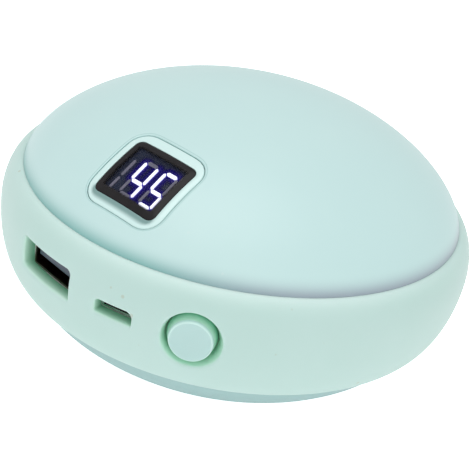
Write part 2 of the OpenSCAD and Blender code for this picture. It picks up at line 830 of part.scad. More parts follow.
module sensor_leads() {
  spot = place(sensor_share);
  top = dome_height(spot[0] + sensor_d / 2, spot[1] + sensor_d / 2, cover_wall + heater_t)
    - sensor_d - fit_gap;
  goal = [socket_shares[2] * half_d, socket_y + socket_l + thin_wire_d / 2,
    board_top_z + socket_h / 2];
  color("White")
  for (s = [-1, 1])
    wire([[spot[0] + s * sensor_d / 4, spot[1], top - thin_wire_d / 4],
      [spot[0] + s * sensor_d / 2, spot[1], top - wire_step],
      [goal[0] + s * wire_step / 2, goal[1] + 3 * wire_step, goal[2] + 3 * wire_step],
      [goal[0] + s * wire_step / 2, goal[1], goal[2]]], thin_wire_d);
}

module lead_sockets() {
  color("Ivory")
  for (share = socket_shares)
    translate([share * half_d - socket_w / 2, socket_y, board_top_z])
      difference() {
        cube([socket_w, socket_l, socket_h]);
        translate([board_t, board_t, socket_h / 2 + thin_wire_d])
          cube([socket_w - 2 * board_t, socket_l - 2 * board_t, socket_h]);
      }
}

module power_inductor() {
  spot = place(inductor_share);
  color([0.25, 0.25, 0.27])
  translate([spot[0], spot[1], board_top_z]) {
    translate([-inductor_w / 2, -inductor_w / 2, 0]) cube([inductor_w, inductor_w, inductor_h * 0.8]);
    cylinder(d = inductor_w * 0.8, h = inductor_h, $fn = small_fn);
  }
}

module control_chips() {
  color([0.12, 0.12, 0.13])
  for (i = [0:len(chip_shares) - 1])
    translate([place(chip_shares[i])[0], place(chip_shares[i])[1], board_top_z]) {
      translate([-chip_sizes[i][0] / 2, -chip_sizes[i][1] / 2, 0]) cube(chip_sizes[i]);
      for (side = [-1, 1], row = [-1:1])
        translate([side * chip_sizes[i][0] / 2, row * chip_sizes[i][1] * 0.3, chip_lead / 4])
          cube([2 * chip_lead, chip_lead, chip_lead / 2], center = true);
    }
}

module capacitors() {
  color([0.7, 0.7, 0.72])
  for (share = capacitor_shares)
    translate([place(share)[0], place(share)[1], board_top_z]) {
      cylinder(d = capacitor_d, h = capacitor_h, $fn = small_fn);
      translate([-capacitor_d / 2, -capacitor_d / 2, 0])
        cube([capacitor_d, capacitor_d, capacitor_h / 6]);
    }
}

// Pan-head screw whose head ends at z = 0, with its shank along +Z
module screw(shank_d, shank_l, head_d, head_h) {
  difference() {
    union() {
      cylinder(d = shank_d, h = shank_l, $fn = small_fn);
      translate([0, 0, -head_h]) cylinder(d1 = head_d * 0.8, d2 = head_d, h = head_h, $fn = small_fn);
    }
    for (turn = [0, 90]) rotate(turn)
      translate([0, 0, -head_h]) cube([head_d * driver_share, head_h / 3, head_h], center = true);
  }
}

module cover_screws() {
  color(metal_colour)
  for (spot = cover_post_spots)
    translate([spot[0], spot[1], deck_top_z - deck_t])
      screw(cover_screw_d, cover_screw_l - screw_gap, cover_head_d, cover_head_h);
}

module board_screws() {
  color(metal_colour)
  for (share = board_post_shares)
    translate([place(share)[0], place(share)[1], board_top_z]) mirror([0, 0, 1])
      screw(board_screw_d, board_screw_l, board_head_d, board_head_h);
}

top_cover();
bottom_cover();
side_band();
mid_frame();
display_bezel();
display_lens();
display_module();
segment_bars();
display_cable();
power_button();
switch_plunger();
switch_body();
circuit_board();
usb_a_shell();
usb_a_tongue();
usb_a_contacts();
micro_usb_shell();
micro_usb_tongue();
micro_usb_contacts();
battery_cell();
battery_guard_board();
battery_pads();
battery_leads();
upper_heater();
lower_heater();
heater_insulation();
heater_leads();
temperature_sensor();
sensor_leads();
lead_sockets();
power_inductor();
control_chips();
capacitors();
cover_screws();
board_screws();
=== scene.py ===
import math

import bmesh
import bpy
from mathutils import Matrix, Vector
from mathutils.geometry import delaunay_2d_cdt


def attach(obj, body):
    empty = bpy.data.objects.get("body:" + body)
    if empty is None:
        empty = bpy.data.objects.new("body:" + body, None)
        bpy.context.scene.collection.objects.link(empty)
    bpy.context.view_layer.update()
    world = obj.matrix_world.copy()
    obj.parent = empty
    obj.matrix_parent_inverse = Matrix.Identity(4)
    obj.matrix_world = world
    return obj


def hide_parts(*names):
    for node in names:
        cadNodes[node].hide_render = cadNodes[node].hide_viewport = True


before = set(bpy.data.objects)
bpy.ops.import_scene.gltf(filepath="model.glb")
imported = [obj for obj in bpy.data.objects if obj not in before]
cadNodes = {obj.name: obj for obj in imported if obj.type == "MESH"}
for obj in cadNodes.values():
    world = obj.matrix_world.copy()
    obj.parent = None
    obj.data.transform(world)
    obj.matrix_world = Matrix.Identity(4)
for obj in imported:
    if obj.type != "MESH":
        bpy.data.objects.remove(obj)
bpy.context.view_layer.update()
print("frame loaded with", len(cadNodes), "nodes")

# Sizes of the pebble in millimetres, as the part's source has them
pebble = {
    "halfWidth": 47.985, "middle": 24.0,
    "seamHigh": 31.6, "rimHigh": 44.3, "bandRise": 7.6,
    "rimLow": 42.2, "bandDrop": 13.8,
    "domeRise": 19.5, "domeFull": 0.66,
    "coverWall": 1.8, "bandWall": 2.6, "frameInner": 4.3, "fitGap": 0.1,
    "skirtHeight": 2.4, "skirtWall": 1.5,
}
display = {"y": 34.4, "tilt": 33.0, "twist": -4.0, "wide": 17.0, "long": 17.2, "corner": 3.8,
           "windowWide": 14.2, "windowLong": 13.0, "windowCorner": 1.4,
           "faceDepth": 1.4, "moduleDepth": 4.6, "ledge": 0.5, "tubeWall": 0.9}
outputPort = {"turn": -12.0, "z": 23.3, "wide": 14.2, "high": 6.2, "upperCorner": 0.7, "lowerCorner": 0.7,
              "lip": 0.6, "lean": (-0.4, -0.45)}
inputPort = {"turn": 8.3, "z": 22.7, "wide": 7.6, "high": 2.8, "upperCorner": 1.1, "lowerCorner": 0.4,
             "lip": 0.45, "lean": (-0.3, -0.3)}
buttonHole = {"turn": 25.6, "z": 22.1, "faceWidth": 10.8, "backWidth": 9.24, "lip": 0.6,
              "lean": (0.0, -0.3), "shift": 0.25}


def domeHeight(x, y, inset=0.0):
    rim = pebble["rimHigh"] - inset
    share = max(0.0, 1 - (x * x + y * y) / (rim * rim))
    return pebble["seamHigh"] + (pebble["domeRise"] - inset) * share ** pebble["domeFull"]


def domeProfile(angle, inset=0.0):
    # radius and height of the dome, or of a layer below it, at an angle from its pole
    rise = (pebble["domeRise"] - inset) * max(0.0, math.cos(angle)) ** (2 * pebble["domeFull"])
    return (pebble["rimHigh"] - inset) * math.sin(angle), pebble["seamHigh"] + rise


def bandRadius(z, inset=0.0):
    upper = z > pebble["middle"]
    rise = (pebble["bandRise"] if upper else pebble["bandDrop"]) - inset
    rim = pebble["rimHigh"] if upper else pebble["rimLow"]
    climb = min(1.0, abs(z - pebble["middle"]) / rise)
    return rim - inset + (pebble["halfWidth"] - rim) * math.sqrt(1 - climb * climb)


def atPort(port, x, y, z):
    # x across the port, y inwards from the widest line of the band, z above the port's middle
    turn = math.radians(port["turn"])
    out = y - pebble["halfWidth"]
    return Vector((x * math.cos(turn) - out * math.sin(turn), x * math.sin(turn) + out * math.cos(turn),
                   port["z"] + z))


def bandDepth(port, x, z, inset=0.0):
    radius = bandRadius(port["z"] + z, inset)
    return pebble["halfWidth"] - math.sqrt(max(0.0, radius * radius - x * x))


displayTurn = Matrix.Rotation(math.radians(display["tilt"]), 3, "X") @ Matrix.Rotation(
    math.radians(display["twist"]), 3, "Z")
displayMiddle = Vector((0, -display["y"], domeHeight(0, display["y"])))


def atDisplay(x, y, depth):
    # x along the digits, y up the slope, depth below the face at the display's middle
    return displayMiddle + displayTurn @ Vector((x, y, -depth))


def domeDepth(x, y, inset=0.0, reach=6.0, halvings=40):
    # depth, along the display's own axis, of the dome's face or of a layer inset below it
    low, high = -reach, reach + 2 * inset
    for step in range(halvings):
        depth = (low + high) / 2
        spot = atDisplay(x, y, depth)
        if spot.z > domeHeight(spot.x, spot.y, inset):
            low = depth
        else:
            high = depth
    return depth


def softLoop(wide, high, upper, lower, grow=0.0, perCorner=6, perSide=14):
    # closed loop of points round a rectangle with soft corners; growing it keeps the count
    wide, high = wide + 2 * grow, high + 2 * grow
    upper, lower = max(upper + grow, 0.02), max(lower + grow, 0.02)
    corners = [(wide / 2 - upper, high / 2 - upper, upper, 0), (upper - wide / 2, high / 2 - upper, upper, 90),
               (lower - wide / 2, lower - high / 2, lower, 180), (wide / 2 - lower, lower - high / 2, lower, 270)]
    arcs = [[(x + radius * math.cos(math.radians(start + 90 * k / perCorner)),
              y + radius * math.sin(math.radians(start + 90 * k / perCorner))) for k in range(perCorner + 1)]
            for x, y, radius, start in corners]
    points = []
    for spot, arc in enumerate(arcs):
        (ax, ay), (bx, by) = arc[-1], arcs[(spot + 1) % 4][0]
        points += arc
        points += [(ax + (bx - ax) * k / perSide, ay + (by - ay) * k / perSide) for k in range(1, perSide)]
    return points


def frameLoop(grow=0.0):
    return softLoop(display["wide"], display["long"], display["corner"], display["corner"], grow)


def windowLoop(grow=0.0):
    corner = display["windowCorner"]
    return softLoop(display["windowWide"], display["windowLong"], corner, corner, grow)


def onLayer(loop, inset=0.0, sink=0.0):
    # lays a flat loop on the dome, or on a layer inset below it, and sinks it a little further
    return [atDisplay(x, y, domeDepth(x, y, inset) + sink) for x, y in loop]


def roundLoop(radius, count=72):
    return [(radius * math.cos(2 * math.pi * k / count), radius * math.sin(2 * math.pi * k / count))
            for k in range(count)]


def sharesOf(steps):
    return [k / steps for k in range(1, steps + 1)]


def rollSteps(steps):
    # a soft edge's quarter turn: in each step the share left sideways and the share sunk
    turns = [math.pi / 2 * k / steps for k in range(steps + 1)]
    return [(1 - math.sin(turn), 1 - math.cos(turn)) for turn in turns]


def insideLoop(x, y, loop):
    inside = False
    for k in range(len(loop)):
        ax, ay = loop[k - 1]
        bx, by = loop[k]
        if (ay > y) != (by > y) and x < (bx - ax) * (y - ay) / (by - ay) + ax:
            inside = not inside
    return inside


def addObject(name, data):
    piece = bpy.data.objects.new(name, data)
    bpy.context.scene.collection.objects.link(piece)
    return piece


class Skin:
    # gathers faces by their corner points, welds them and makes one closed mesh; each point keeps a mark
    def __init__(self):
        self.places, self.points, self.marks, self.faces = {}, [], [], []

    def point(self, spot, mark=0.0):
        key = (round(spot[0], 3), round(spot[1], 3), round(spot[2], 3))
        if key not in self.places:
            self.places[key] = len(self.points)
            self.points.append(Vector(spot))
            self.marks.append(mark)
        return self.places[key]

    def face(self, corners):
        clean = [c for k, c in enumerate(corners) if c != corners[k - 1]]
        if len(set(clean)) == len(clean) and len(clean) > 2:
            self.faces.append(clean)

    def loft(self, loops, marks=None, joined=False):
        # a mark stands for a whole loop, or is a list with one for each of its points
        marks = [m if isinstance(m, list) else [m] * len(loops[0]) for m in marks or [0.0] * len(loops)]
        rows = [[self.point(spot, mark) for spot, mark in zip(loop, row)] for loop, row in zip(loops, marks)]
        if joined:
            rows.append(rows[0])
        for a, b in zip(rows, rows[1:]):
            for k in range(len(a)):
                n = (k + 1) % len(a)
                self.face([a[k], a[n], b[n], b[k]])

    def fan(self, loop, middle, mark=0.0):
        ring = [self.point(spot, mark) for spot in loop]
        centre = self.point(middle, mark)
        for k in range(len(ring)):
            self.face([ring[k], ring[(k + 1) % len(ring)], centre])

    def sheet(self, spots, loops, holes):
        # a spot is a plane point, its place in space and its mark; loops are lists of indices that stay edges
        edges = [(loop[k - 1], loop[k]) for loop in loops for k in range(len(loop))]
        done = delaunay_2d_cdt([Vector(flat) for flat, place, mark in spots], edges, [], 0, 1e-5, True)
        corners = [self.point(*spots[origins[0]][1:]) if origins else None for origins in done[3]]
        for face in done[2]:
            x = sum(done[0][k][0] for k in face) / len(face)
            y = sum(done[0][k][1] for k in face) / len(face)
            if not any(insideLoop(x, y, hole) for hole in holes):
                self.face([corners[k] for k in face])

    def build(self, name, sharpAngle=38):
        mesh = bpy.data.meshes.new(name)
        mesh.from_pydata([p * 0.001 for p in self.points], [], self.faces)
        shape = bmesh.new()
        shape.from_mesh(mesh)
        markLayer = shape.verts.layers.float.new("mark")
        for spot, vert in enumerate(shape.verts):
            vert[markLayer] = self.marks[spot]
        loose = [v for v in shape.verts if not v.link_faces]
        bmesh.ops.delete(shape, geom=loose, context="VERTS")
        bmesh.ops.recalc_face_normals(shape, faces=shape.faces)
        for face in shape.faces:
            face.smooth = True
        for edge in shape.edges:
            if len(edge.link_faces) == 2 and edge.calc_face_angle(0) > math.radians(sharpAngle):
                edge.smooth = False
        openEdges = sum(1 for e in shape.edges if len(e.link_faces) != 2)
        shape.to_mesh(mesh)
        shape.free()
        print(name, "has", len(mesh.polygons), "faces and", openEdges, "open edges")
        return addObject(name, mesh)


def settle(piece, body, slotName, material, *replaced):
    piece.data.materials.clear()
    piece.data.materials.append(material)
    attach(piece, body)
    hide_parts(*replaced)
    return piece


# Materials: small helpers, the shared effects as groups, then one material for each finish

def feed(tree, node, **inputs):
    # an input is named by its label, or by i and its number; it takes a link or a value
    for key, value in inputs.items():
        numbered = key[0] == "i" and key[1:].isdigit()
        socket = node.inputs[int(key[1:])] if numbered else node.inputs[key.replace("_", " ")]
        if isinstance(value, bpy.types.NodeSocket):
            tree.links.new(value, socket)
        else:
            socket.default_value = value + (1,) if socket.type == "RGBA" else value


def addNode(tree, kind, settings=None, **inputs):
    node = tree.nodes.new(kind)
    for key, value in (settings or {}).items():
        setattr(node, key, value)
    feed(tree, node, **inputs)
    return node


def startTree(name, kind, inputs, outputs):
    tree = bpy.data.node_groups.new(name, kind)
    for label, socketKind, value in inputs:
        socket = tree.interface.new_socket(label, in_out="INPUT", socket_type="NodeSocket" + socketKind)
        if value is not None:
            socket.default_value = value
    for label, socketKind in outputs:
        tree.interface.new_socket(label, in_out="OUTPUT", socket_type="NodeSocket" + socketKind)
    return tree, tree.nodes.new("NodeGroupInput").outputs, tree.nodes.new("NodeGroupOutput")


def useGroup(tree, group, **inputs):
    return addNode(tree, "ShaderNodeGroup", {"node_tree": group}, **inputs).outputs


def mathNode(tree, operation, a, b=0.0, clamp=False):
    return addNode(tree, "ShaderNodeMath", {"operation": operation, "use_clamp": clamp}, i0=a, i1=b).outputs[0]


def mixColours(tree, share, a, b):
    return addNode(tree, "ShaderNodeMix", {"data_type": "RGBA"}, i0=share, i6=a, i7=b).outputs[2]


def spread(tree, value, low, high, outLow=0.0, outHigh=1.0):
    return addNode(tree, "ShaderNodeMapRange", {"interpolation_type": "SMOOTHSTEP"}, Value=value, From_Min=low,
                   From_Max=high, To_Min=outLow, To_Max=outHigh).outputs[0]


def onPiece(tree):
    return addNode(tree, "ShaderNodeTexCoord").outputs["Object"]


def markOf(tree):
    return addNode(tree, "ShaderNodeAttribute", {"attribute_name": "mark"}).outputs["Fac"]


def noise(tree, place, scale, detail):
    return addNode(tree, "ShaderNodeTexNoise", Vector=place, Scale=scale, Detail=detail).outputs[0]


def bump(tree, strength, distance, height):
    return addNode(tree, "ShaderNodeBump", Strength=strength, Distance=distance, Height=height).outputs[0]


def stretched(tree, place, by):
    return addNode(tree, "ShaderNodeVectorMath", {"operation": "MULTIPLY"}, i0=place, i1=by).outputs[0]


# Moulded surface: two close tones in soft clouds, a fine grain, and roughness that wanders a little
mouldedGroup, given, result = startTree("mouldedSurface", "ShaderNodeTree", [
    ("Tone", "Color", None), ("Cloud Tone", "Color", None), ("Cloud Scale", "Float", 60.0),
    ("Grain Scale", "Float", 4000.0), ("Grain Height", "Float", 0.1), ("Roughness", "Float", 0.5),
    ("Roughness Spread", "Float", 0.1)], [("Color", "Color"), ("Roughness", "Float"), ("Normal", "Vector")])
place = onPiece(mouldedGroup)
clouds = noise(mouldedGroup, place, given["Cloud Scale"], 3.0)
wander = mathNode(mouldedGroup, "MULTIPLY", mathNode(mouldedGroup, "SUBTRACT", clouds, 0.5),
                  given["Roughness Spread"])
grain = noise(mouldedGroup, place, given["Grain Scale"], 2.0)
feed(mouldedGroup, result, Roughness=mathNode(mouldedGroup, "ADD", given["Roughness"], wander, True),
     Color=mixColours(mouldedGroup, spread(mouldedGroup, clouds, 0.35, 0.65), given["Tone"], given["Cloud Tone"]),
     Normal=bump(mouldedGroup, given["Grain Height"], 0.00004, grain))

# Dust and scuffs: a mask of small scattered specks, thinned out by a broad noise
dustGroup, given, result = startTree("dustSpecks", "ShaderNodeTree", [
    ("Speck Scale", "Float", 700.0), ("Amount", "Float", 0.1), ("Patch Scale", "Float", 90.0)], [("Mask", "Float")])
place = onPiece(dustGroup)
cells = addNode(dustGroup, "ShaderNodeTexVoronoi", Vector=place, Scale=given["Speck Scale"])
rare = addNode(dustGroup, "ShaderNodeTexWhiteNoise", Vector=cells.outputs["Color"]).outputs["Value"]
patch = spread(dustGroup, noise(dustGroup, place, given["Patch Scale"], 1.0), 0.4, 0.7)
kept = mathNode(dustGroup, "LESS_THAN", rare, mathNode(dustGroup, "MULTIPLY", given["Amount"], patch))
dot = spread(dustGroup, cells.outputs["Distance"], 0.16, 0.3, 1.0, 0.0)
feed(dustGroup, result, Mask=mathNode(dustGroup, "MULTIPLY", kept, dot))

# Drawn metal: fine lines along one axis with a few darker stains
metalGroup, given, result = startTree("drawnMetal", "ShaderNodeTree", [
    ("Tone", "Color", None), ("Stain Tone", "Color", None), ("Line Stretch", "Vector", (300.0, 6000.0, 6000.0)),
    ("Roughness", "Float", 0.3)], [("Color", "Color"), ("Roughness", "Float"), ("Height", "Float")])
place = onPiece(metalGroup)
lines = noise(metalGroup, stretched(metalGroup, place, given["Line Stretch"]), 1.0, 4.0)
stains = spread(metalGroup, noise(metalGroup, place, 180.0, 4.0), 0.5, 0.75)
wander = spread(metalGroup, lines, 0.3, 0.8, -0.08, 0.12)
feed(metalGroup, result, Color=mixColours(metalGroup, stains, given["Tone"], given["Stain Tone"]),
     Roughness=mathNode(metalGroup, "ADD", given["Roughness"], wander, True), Height=lines)

# Printed lines: a mask of even lines across any value that grows over the surface
linesGroup, given, result = startTree("printedLines", "ShaderNodeTree", [
    ("Value", "Float", 0.0), ("Pitch", "Float", 0.001), ("Share", "Float", 0.5)], [("Mask", "Float")])
phase = mathNode(linesGroup, "FRACT", mathNode(linesGroup, "DIVIDE", given["Value"], given["Pitch"]))
away = mathNode(linesGroup, "MULTIPLY",
                mathNode(linesGroup, "ABSOLUTE", mathNode(linesGroup, "SUBTRACT", phase, 0.5)), 2.0)
past = mathNode(linesGroup, "SUBTRACT", away, given["Share"])
feed(linesGroup, result, Mask=spread(linesGroup, past, -0.06, 0.06, 1.0, 0.0))


def startMaterial(name, **plain):
    material = bpy.data.materials.new(name)
    material.use_nodes = True
    tree = material.node_tree
    shader = tree.nodes["Principled BSDF"]
    feed(tree, shader, **plain)
    return material, tree, shader


def layMoulded(tree, shader, tone, cloudTone, roughness, cloudScale=60.0, grainScale=4000.0, grainHeight=0.1,
               roughnessSpread=0.1, outputs=("Roughness", "Normal")):
    # lays the moulded surface under the shader and gives its colour, which other layers may still cover
    moulded = useGroup(tree, mouldedGroup, Tone=tone, Cloud_Tone=cloudTone, Cloud_Scale=cloudScale,
                       Grain_Scale=grainScale, Grain_Height=grainHeight, Roughness=roughness,
                       Roughness_Spread=roughnessSpread)
    feed(tree, shader, **{output: moulded[output] for output in outputs})
    return moulded["Color"]


def mouldedMaterial(name, tone, cloudTone, roughness, cloudScale=60.0, grainScale=4000.0, grainHeight=0.1,
                    paintedShadeTone=None, paintedShadeRange=(0.0, 1.0), farShadeTone=None, paintedLipLightTone=None, edgeHighlightTone=None, dust=None,
                    **plain):
    material, tree, shader = startMaterial(name, **plain)
    colour = layMoulded(tree, shader, tone, cloudTone, roughness, cloudScale, grainScale, grainHeight)
    # painted shade: where the mark grows, the colour darkens towards the painted shade tone
    if paintedShadeTone:
        mark, shade = markOf(tree), paintedShadeTone
        if farShadeTone:  # painted shade: it turns to a second tone towards the right of the pebble
            across = addNode(tree, "ShaderNodeSeparateXYZ", Vector=onPiece(tree)).outputs["X"]
            shade = mixColours(tree, spread(tree, across, 0.006, 0.034), shade, farShadeTone)
        if paintedLipLightTone:  # painted light: the painted shade begins lighter and greener, standing in for light passing through the lip
            colour = mixColours(tree, spread(tree, mark, 0.0, 0.8), colour, paintedLipLightTone)
        colour = mixColours(tree, spread(tree, mark, *paintedShadeRange), colour, shade)
        if edgeHighlightTone:  # painted highlight: edges and lips are a little lighter
            colour = mixColours(tree, spread(tree, mark, -1.0, 0.0, 1.0, 0.0), colour, edgeHighlightTone)
    if dust:
        specks = useGroup(tree, dustGroup, Speck_Scale=dust["scale"], Amount=dust["amount"],
                          Patch_Scale=dust["patch"])["Mask"]
        colour = mixColours(tree, mathNode(tree, "MULTIPLY", specks, dust["strength"]), colour, dust["tone"])
    feed(tree, shader, Base_Color=colour)
    return material


def metalMaterial(name, tone, stainTone, roughness, stretch):
    material, tree, shader = startMaterial(name, Metallic=1.0)
    metal = useGroup(tree, metalGroup, Tone=tone, Stain_Tone=stainTone, Roughness=roughness, Line_Stretch=stretch)
    feed(tree, shader, Base_Color=metal["Color"], Roughness=metal["Roughness"],
         Normal=bump(tree, 0.15, 0.00003, metal["Height"]))
    return material


# the numbers after a finish's two tones are its roughness, cloud scale, grain scale and grain height
softLight = {"Subsurface_Weight": 0.4, "Subsurface_Radius": (1.0, 1.0, 1.0)}
# painted shade: the cover darkens towards its upper seam and along the cut's edge, teal at the left and a second tone
# at the right
coverLook = mouldedMaterial("coverSatin", (0.56, 0.775, 0.765), (0.575, 0.785, 0.772), 0.42, 35.0, 5200.0, 0.12,
                            paintedShadeTone=(0.24, 0.49, 0.47), farShadeTone=(0.33, 0.40, 0.46),
                            dust={"scale": 900.0, "amount": 0.02, "patch": 60.0, "strength": 0.25,
                                  "tone": (0.7, 0.8, 0.78)}, Coat_Weight=0.12, Coat_Roughness=0.35)
# painted shade: the bottom cover takes a darker, bluer copy of the cover's satin for the shade under the pebble
baseShadeLook = mouldedMaterial("baseShadedSatin", (0.36, 0.555, 0.55), (0.375, 0.565, 0.56), 0.45, 35.0, 5200.0, 0.12,
                           Coat_Weight=0.1, Coat_Roughness=0.35)
# painted shade in the band's openings, lighter and greener at their lips, and a painted highlight on the upper edge
bandLook = mouldedMaterial("bandSoft", (0.525, 0.72, 0.675), (0.54, 0.73, 0.69), 0.58, 45.0, 3600.0, 0.18,
                           paintedShadeTone=(0.21, 0.55, 0.35), paintedShadeRange=(0.5, 3.0), paintedLipLightTone=(0.63, 0.90, 0.77),
                           edgeHighlightTone=(0.68, 0.86, 0.82),
                           dust={"scale": 700.0, "amount": 0.05, "patch": 45.0, "strength": 0.45,
                                 "tone": (0.45, 0.47, 0.34)}, Sheen_Weight=0.15, Sheen_Roughness=0.4,
                           Subsurface_Scale=0.0014, **softLight)
# painted shadow on the bezel round the window and painted shade on its edges and tube
bezelLook = mouldedMaterial("bezelGloss", (0.645, 0.865, 0.845), (0.66, 0.875, 0.855), 0.22, 90.0, 2600.0, 0.04,
                            paintedShadeTone=(0.20, 0.34, 0.33), paintedShadeRange=(0.1, 1.5), Coat_Weight=0.3,
                            Coat_Roughness=0.1)
# painted shade in the button's groove and a painted highlight on its cap's edge
buttonLook = mouldedMaterial("buttonSatin", (0.49, 0.70, 0.68), (0.5, 0.71, 0.69), 0.4, 120.0, 3000.0, 0.1,
                             paintedShadeTone=(0.26, 0.64, 0.45), paintedShadeRange=(0.4, 2.6), paintedLipLightTone=(0.63, 0.90, 0.77),
                             edgeHighlightTone=(0.64, 0.86, 0.82),
                             dust={"scale": 1100.0, "amount": 0.05, "patch": 150.0, "strength": 0.3,
                                   "tone": (0.7, 0.78, 0.74)}, Subsurface_Scale=0.001, **softLight)
frameLook = mouldedMaterial("frameWhite", (0.82, 0.82, 0.8), (0.86, 0.86, 0.84), 0.5, 80.0, grainHeight=0.15)
darkLook = mouldedMaterial("darkPlastic", (0.018, 0.018, 0.021), (0.03, 0.03, 0.034), 0.45, 260.0,
                           grainHeight=0.25)
tongueLook = mouldedMaterial("tongueBlueGrey", (0.045, 0.060, 0.095), (0.062, 0.078, 0.12), 0.35, 220.0,
                             grainHeight=0.2)
socketLook = mouldedMaterial("socketIvory", (0.78, 0.74, 0.6), (0.83, 0.79, 0.66), 0.45, 200.0)
padLook = mouldedMaterial("foamPad", (0.035, 0.035, 0.04), (0.06, 0.06, 0.066), 0.95, 900.0, 2600.0, 0.9)
feltLook = mouldedMaterial("greyFelt", (0.1, 0.105, 0.115), (0.17, 0.175, 0.185), 1.0, 1200.0, 5000.0, 1.0)
redSleeve = mouldedMaterial("redSleeve", (0.45, 0.02, 0.015), (0.52, 0.03, 0.02), 0.4, 400.0)
blackSleeve = mouldedMaterial("blackSleeve", (0.015, 0.015, 0.016), (0.025, 0.025, 0.027), 0.4, 400.0)
whiteSleeve = mouldedMaterial("whiteSleeve", (0.75, 0.75, 0.72), (0.8, 0.8, 0.77), 0.4, 400.0)


def shellMaterial(name, rimTone, insideShadeTone, port, roughness, rimDepth=3.1, change=(0.0003, 0.00005)):
    # drawn metal whose rim is bright and whose inside is painted dark, as shade, from a little behind the rim
    material = metalMaterial(name, rimTone, rimTone, roughness, (300.0, 300.0, 6000.0))
    tree, shader = material.node_tree, material.node_tree.nodes["Principled BSDF"]
    turn = math.radians(port["turn"])
    out = addNode(tree, "ShaderNodeVectorMath", {"operation": "DOT_PRODUCT"}, i0=onPiece(tree),
                  i1=(math.sin(turn), -math.cos(turn), 0)).outputs["Value"]
    rim = (pebble["halfWidth"] - rimDepth) / 1000
    metal = shader.inputs["Base Color"].links[0].from_socket
    inside = spread(tree, out, rim - change[0], rim - change[1], 1.0, 0.0)
    feed(tree, shader, Base_Color=mixColours(tree, inside, metal, insideShadeTone))
    return material


# painted shade: each shell's inside is painted dark behind its rim
outputShellLook = shellMaterial("outputShell", (0.17, 0.14, 0.11), (0.1, 0.055, 0.05), outputPort, 0.35)
inputShellLook = shellMaterial("inputShell", (0.9, 0.9, 0.9), (0.002, 0.002, 0.002), inputPort, 0.3)
steelLook = metalMaterial("platedSteel", (0.62, 0.62, 0.64), (0.45, 0.44, 0.43), 0.28, (6000.0, 300.0, 6000.0))
goldLook = metalMaterial("goldPlate", (0.83, 0.6, 0.25), (0.6, 0.4, 0.15), 0.22, (6000.0, 400.0, 6000.0))
cellLook = metalMaterial("foilPouch", (0.7, 0.71, 0.73), (0.58, 0.59, 0.62), 0.38, (900.0, 900.0, 900.0))


def linedMaterial(name, tone, cloudTone, lineTone, pitch, share, rings, roughness, **plain):
    # moulded tone with printed lines over it, straight across or as rings round the pebble's axis
    material, tree, shader = startMaterial(name, **plain)
    colour = layMoulded(tree, shader, tone, cloudTone, roughness, 120.0, outputs=("Roughness",))
    flat = stretched(tree, onPiece(tree), (1, 1 if rings else 0, 0))
    along = addNode(tree, "ShaderNodeVectorMath", {"operation": "LENGTH"}, i0=flat).outputs["Value"]
    lines = useGroup(tree, linesGroup, Value=along, Pitch=pitch, Share=share)["Mask"]
    feed(tree, shader, Base_Color=mixColours(tree, lines, colour, lineTone), Normal=bump(tree, 0.3, 0.00003, lines))
    return material


boardLook = linedMaterial("boardGreen", (0.012, 0.10, 0.045), (0.016, 0.12, 0.055), (0.03, 0.17, 0.08), 0.0016,
                          0.45, False, 0.3, Coat_Weight=0.3)
ribbonLook = linedMaterial("ribbonAmber", (0.50, 0.21, 0.035), (0.56, 0.25, 0.05), (0.30, 0.11, 0.02), 0.0005,
                           0.5, False, 0.3)
heaterLook = linedMaterial("heaterFilm", (0.50, 0.21, 0.035), (0.56, 0.25, 0.05), (0.62, 0.30, 0.14), 0.0032,
                           0.6, True, 0.28, Coat_Weight=0.2)
print("plain materials made")

# Top cover: a dome with the display's cut-out, whose edge is broken by a soft chamfer
topCover = {"rings": 66, "columns": 240, "poleShare": 0.3, "faceEnd": 86.0, "rimEnd": 89.6, "innerEnd": 80.0,
            "edgeRound": 0.3, "rimSteps": 8, "roundSteps": 5, "clearance": 0.1,
            "chamferWide": 0.3, "chamferShift": 0.16, "chamferDeep": 0.25, "wallStart": 0.9,
            "around": (0.25, 0.9, 1.8), "faceKeepOut": 1.03, "innerKeepOut": 1.04,
            "lipRise": 0.14, "lipStart": 0.7, "lipEnd": 0.75, "shadeRise": 3.7, "shadeFade": 1.5,
            # painted shade marks down the cut's edge: along the chamfer, at the wall's start and at its end
            "edgeMarks": [0.55, 0.12, 0.08, 0.12, 0.25, 0.5, 1.0, 1.0]}


def seamShade(z):
    # painted shade: one at the upper seam, fading to zero a little way up the dome
    return max(0.0, 1 - (z - pebble["seamHigh"]) / topCover["shadeRise"]) ** topCover["shadeFade"]


def domeSheet(skin, inset, cutLoops, cutMarks, keepOut, rings, columns, lastAngle):
    # dome between its pole and a ring near its rim, cut out along the first of the loops of points in space
    rim = pebble["rimHigh"] - inset
    spots = []
    for loop, mark in zip(cutLoops, cutMarks):
        for spot in loop:
            angle = math.asin(min(1.0, math.hypot(spot.x, spot.y) / rim))
            turn = math.atan2(spot.y, spot.x)
            spots.append(((angle * math.cos(turn), angle * math.sin(turn)), spot, mark))
    edge = list(range(len(cutLoops[0])))
    hole = [spots[k][0] for k in edge]
    centre = Vector((sum(x for x, y in hole) / len(hole), sum(y for x, y in hole) / len(hole)))
    guard = [Vector(flat) for flat, place, mark in spots[-len(cutLoops[-1]):]]
    wide = [tuple(centre + (p - centre) * keepOut) for p in guard]
    spots.append(((0.0, 0.0), Vector((0, 0, domeProfile(0.0, inset)[1])), 0.0))
    for ring in range(1, rings + 1):
        angle = math.radians(lastAngle) * ring / rings
        radius, z = domeProfile(angle, inset)
        count = columns if ring > rings * topCover["poleShare"] else columns // 4  # fewer columns near the pole
        for column in range(count):
            turn = 2 * math.pi * column / count
            x, y = angle * math.cos(turn), angle * math.sin(turn)
            if not insideLoop(x, y, wide):
                spots.append(((x, y), Vector((radius * math.cos(turn), radius * math.sin(turn), z)), seamShade(z)))
    skin.sheet(spots, [edge], [hole])


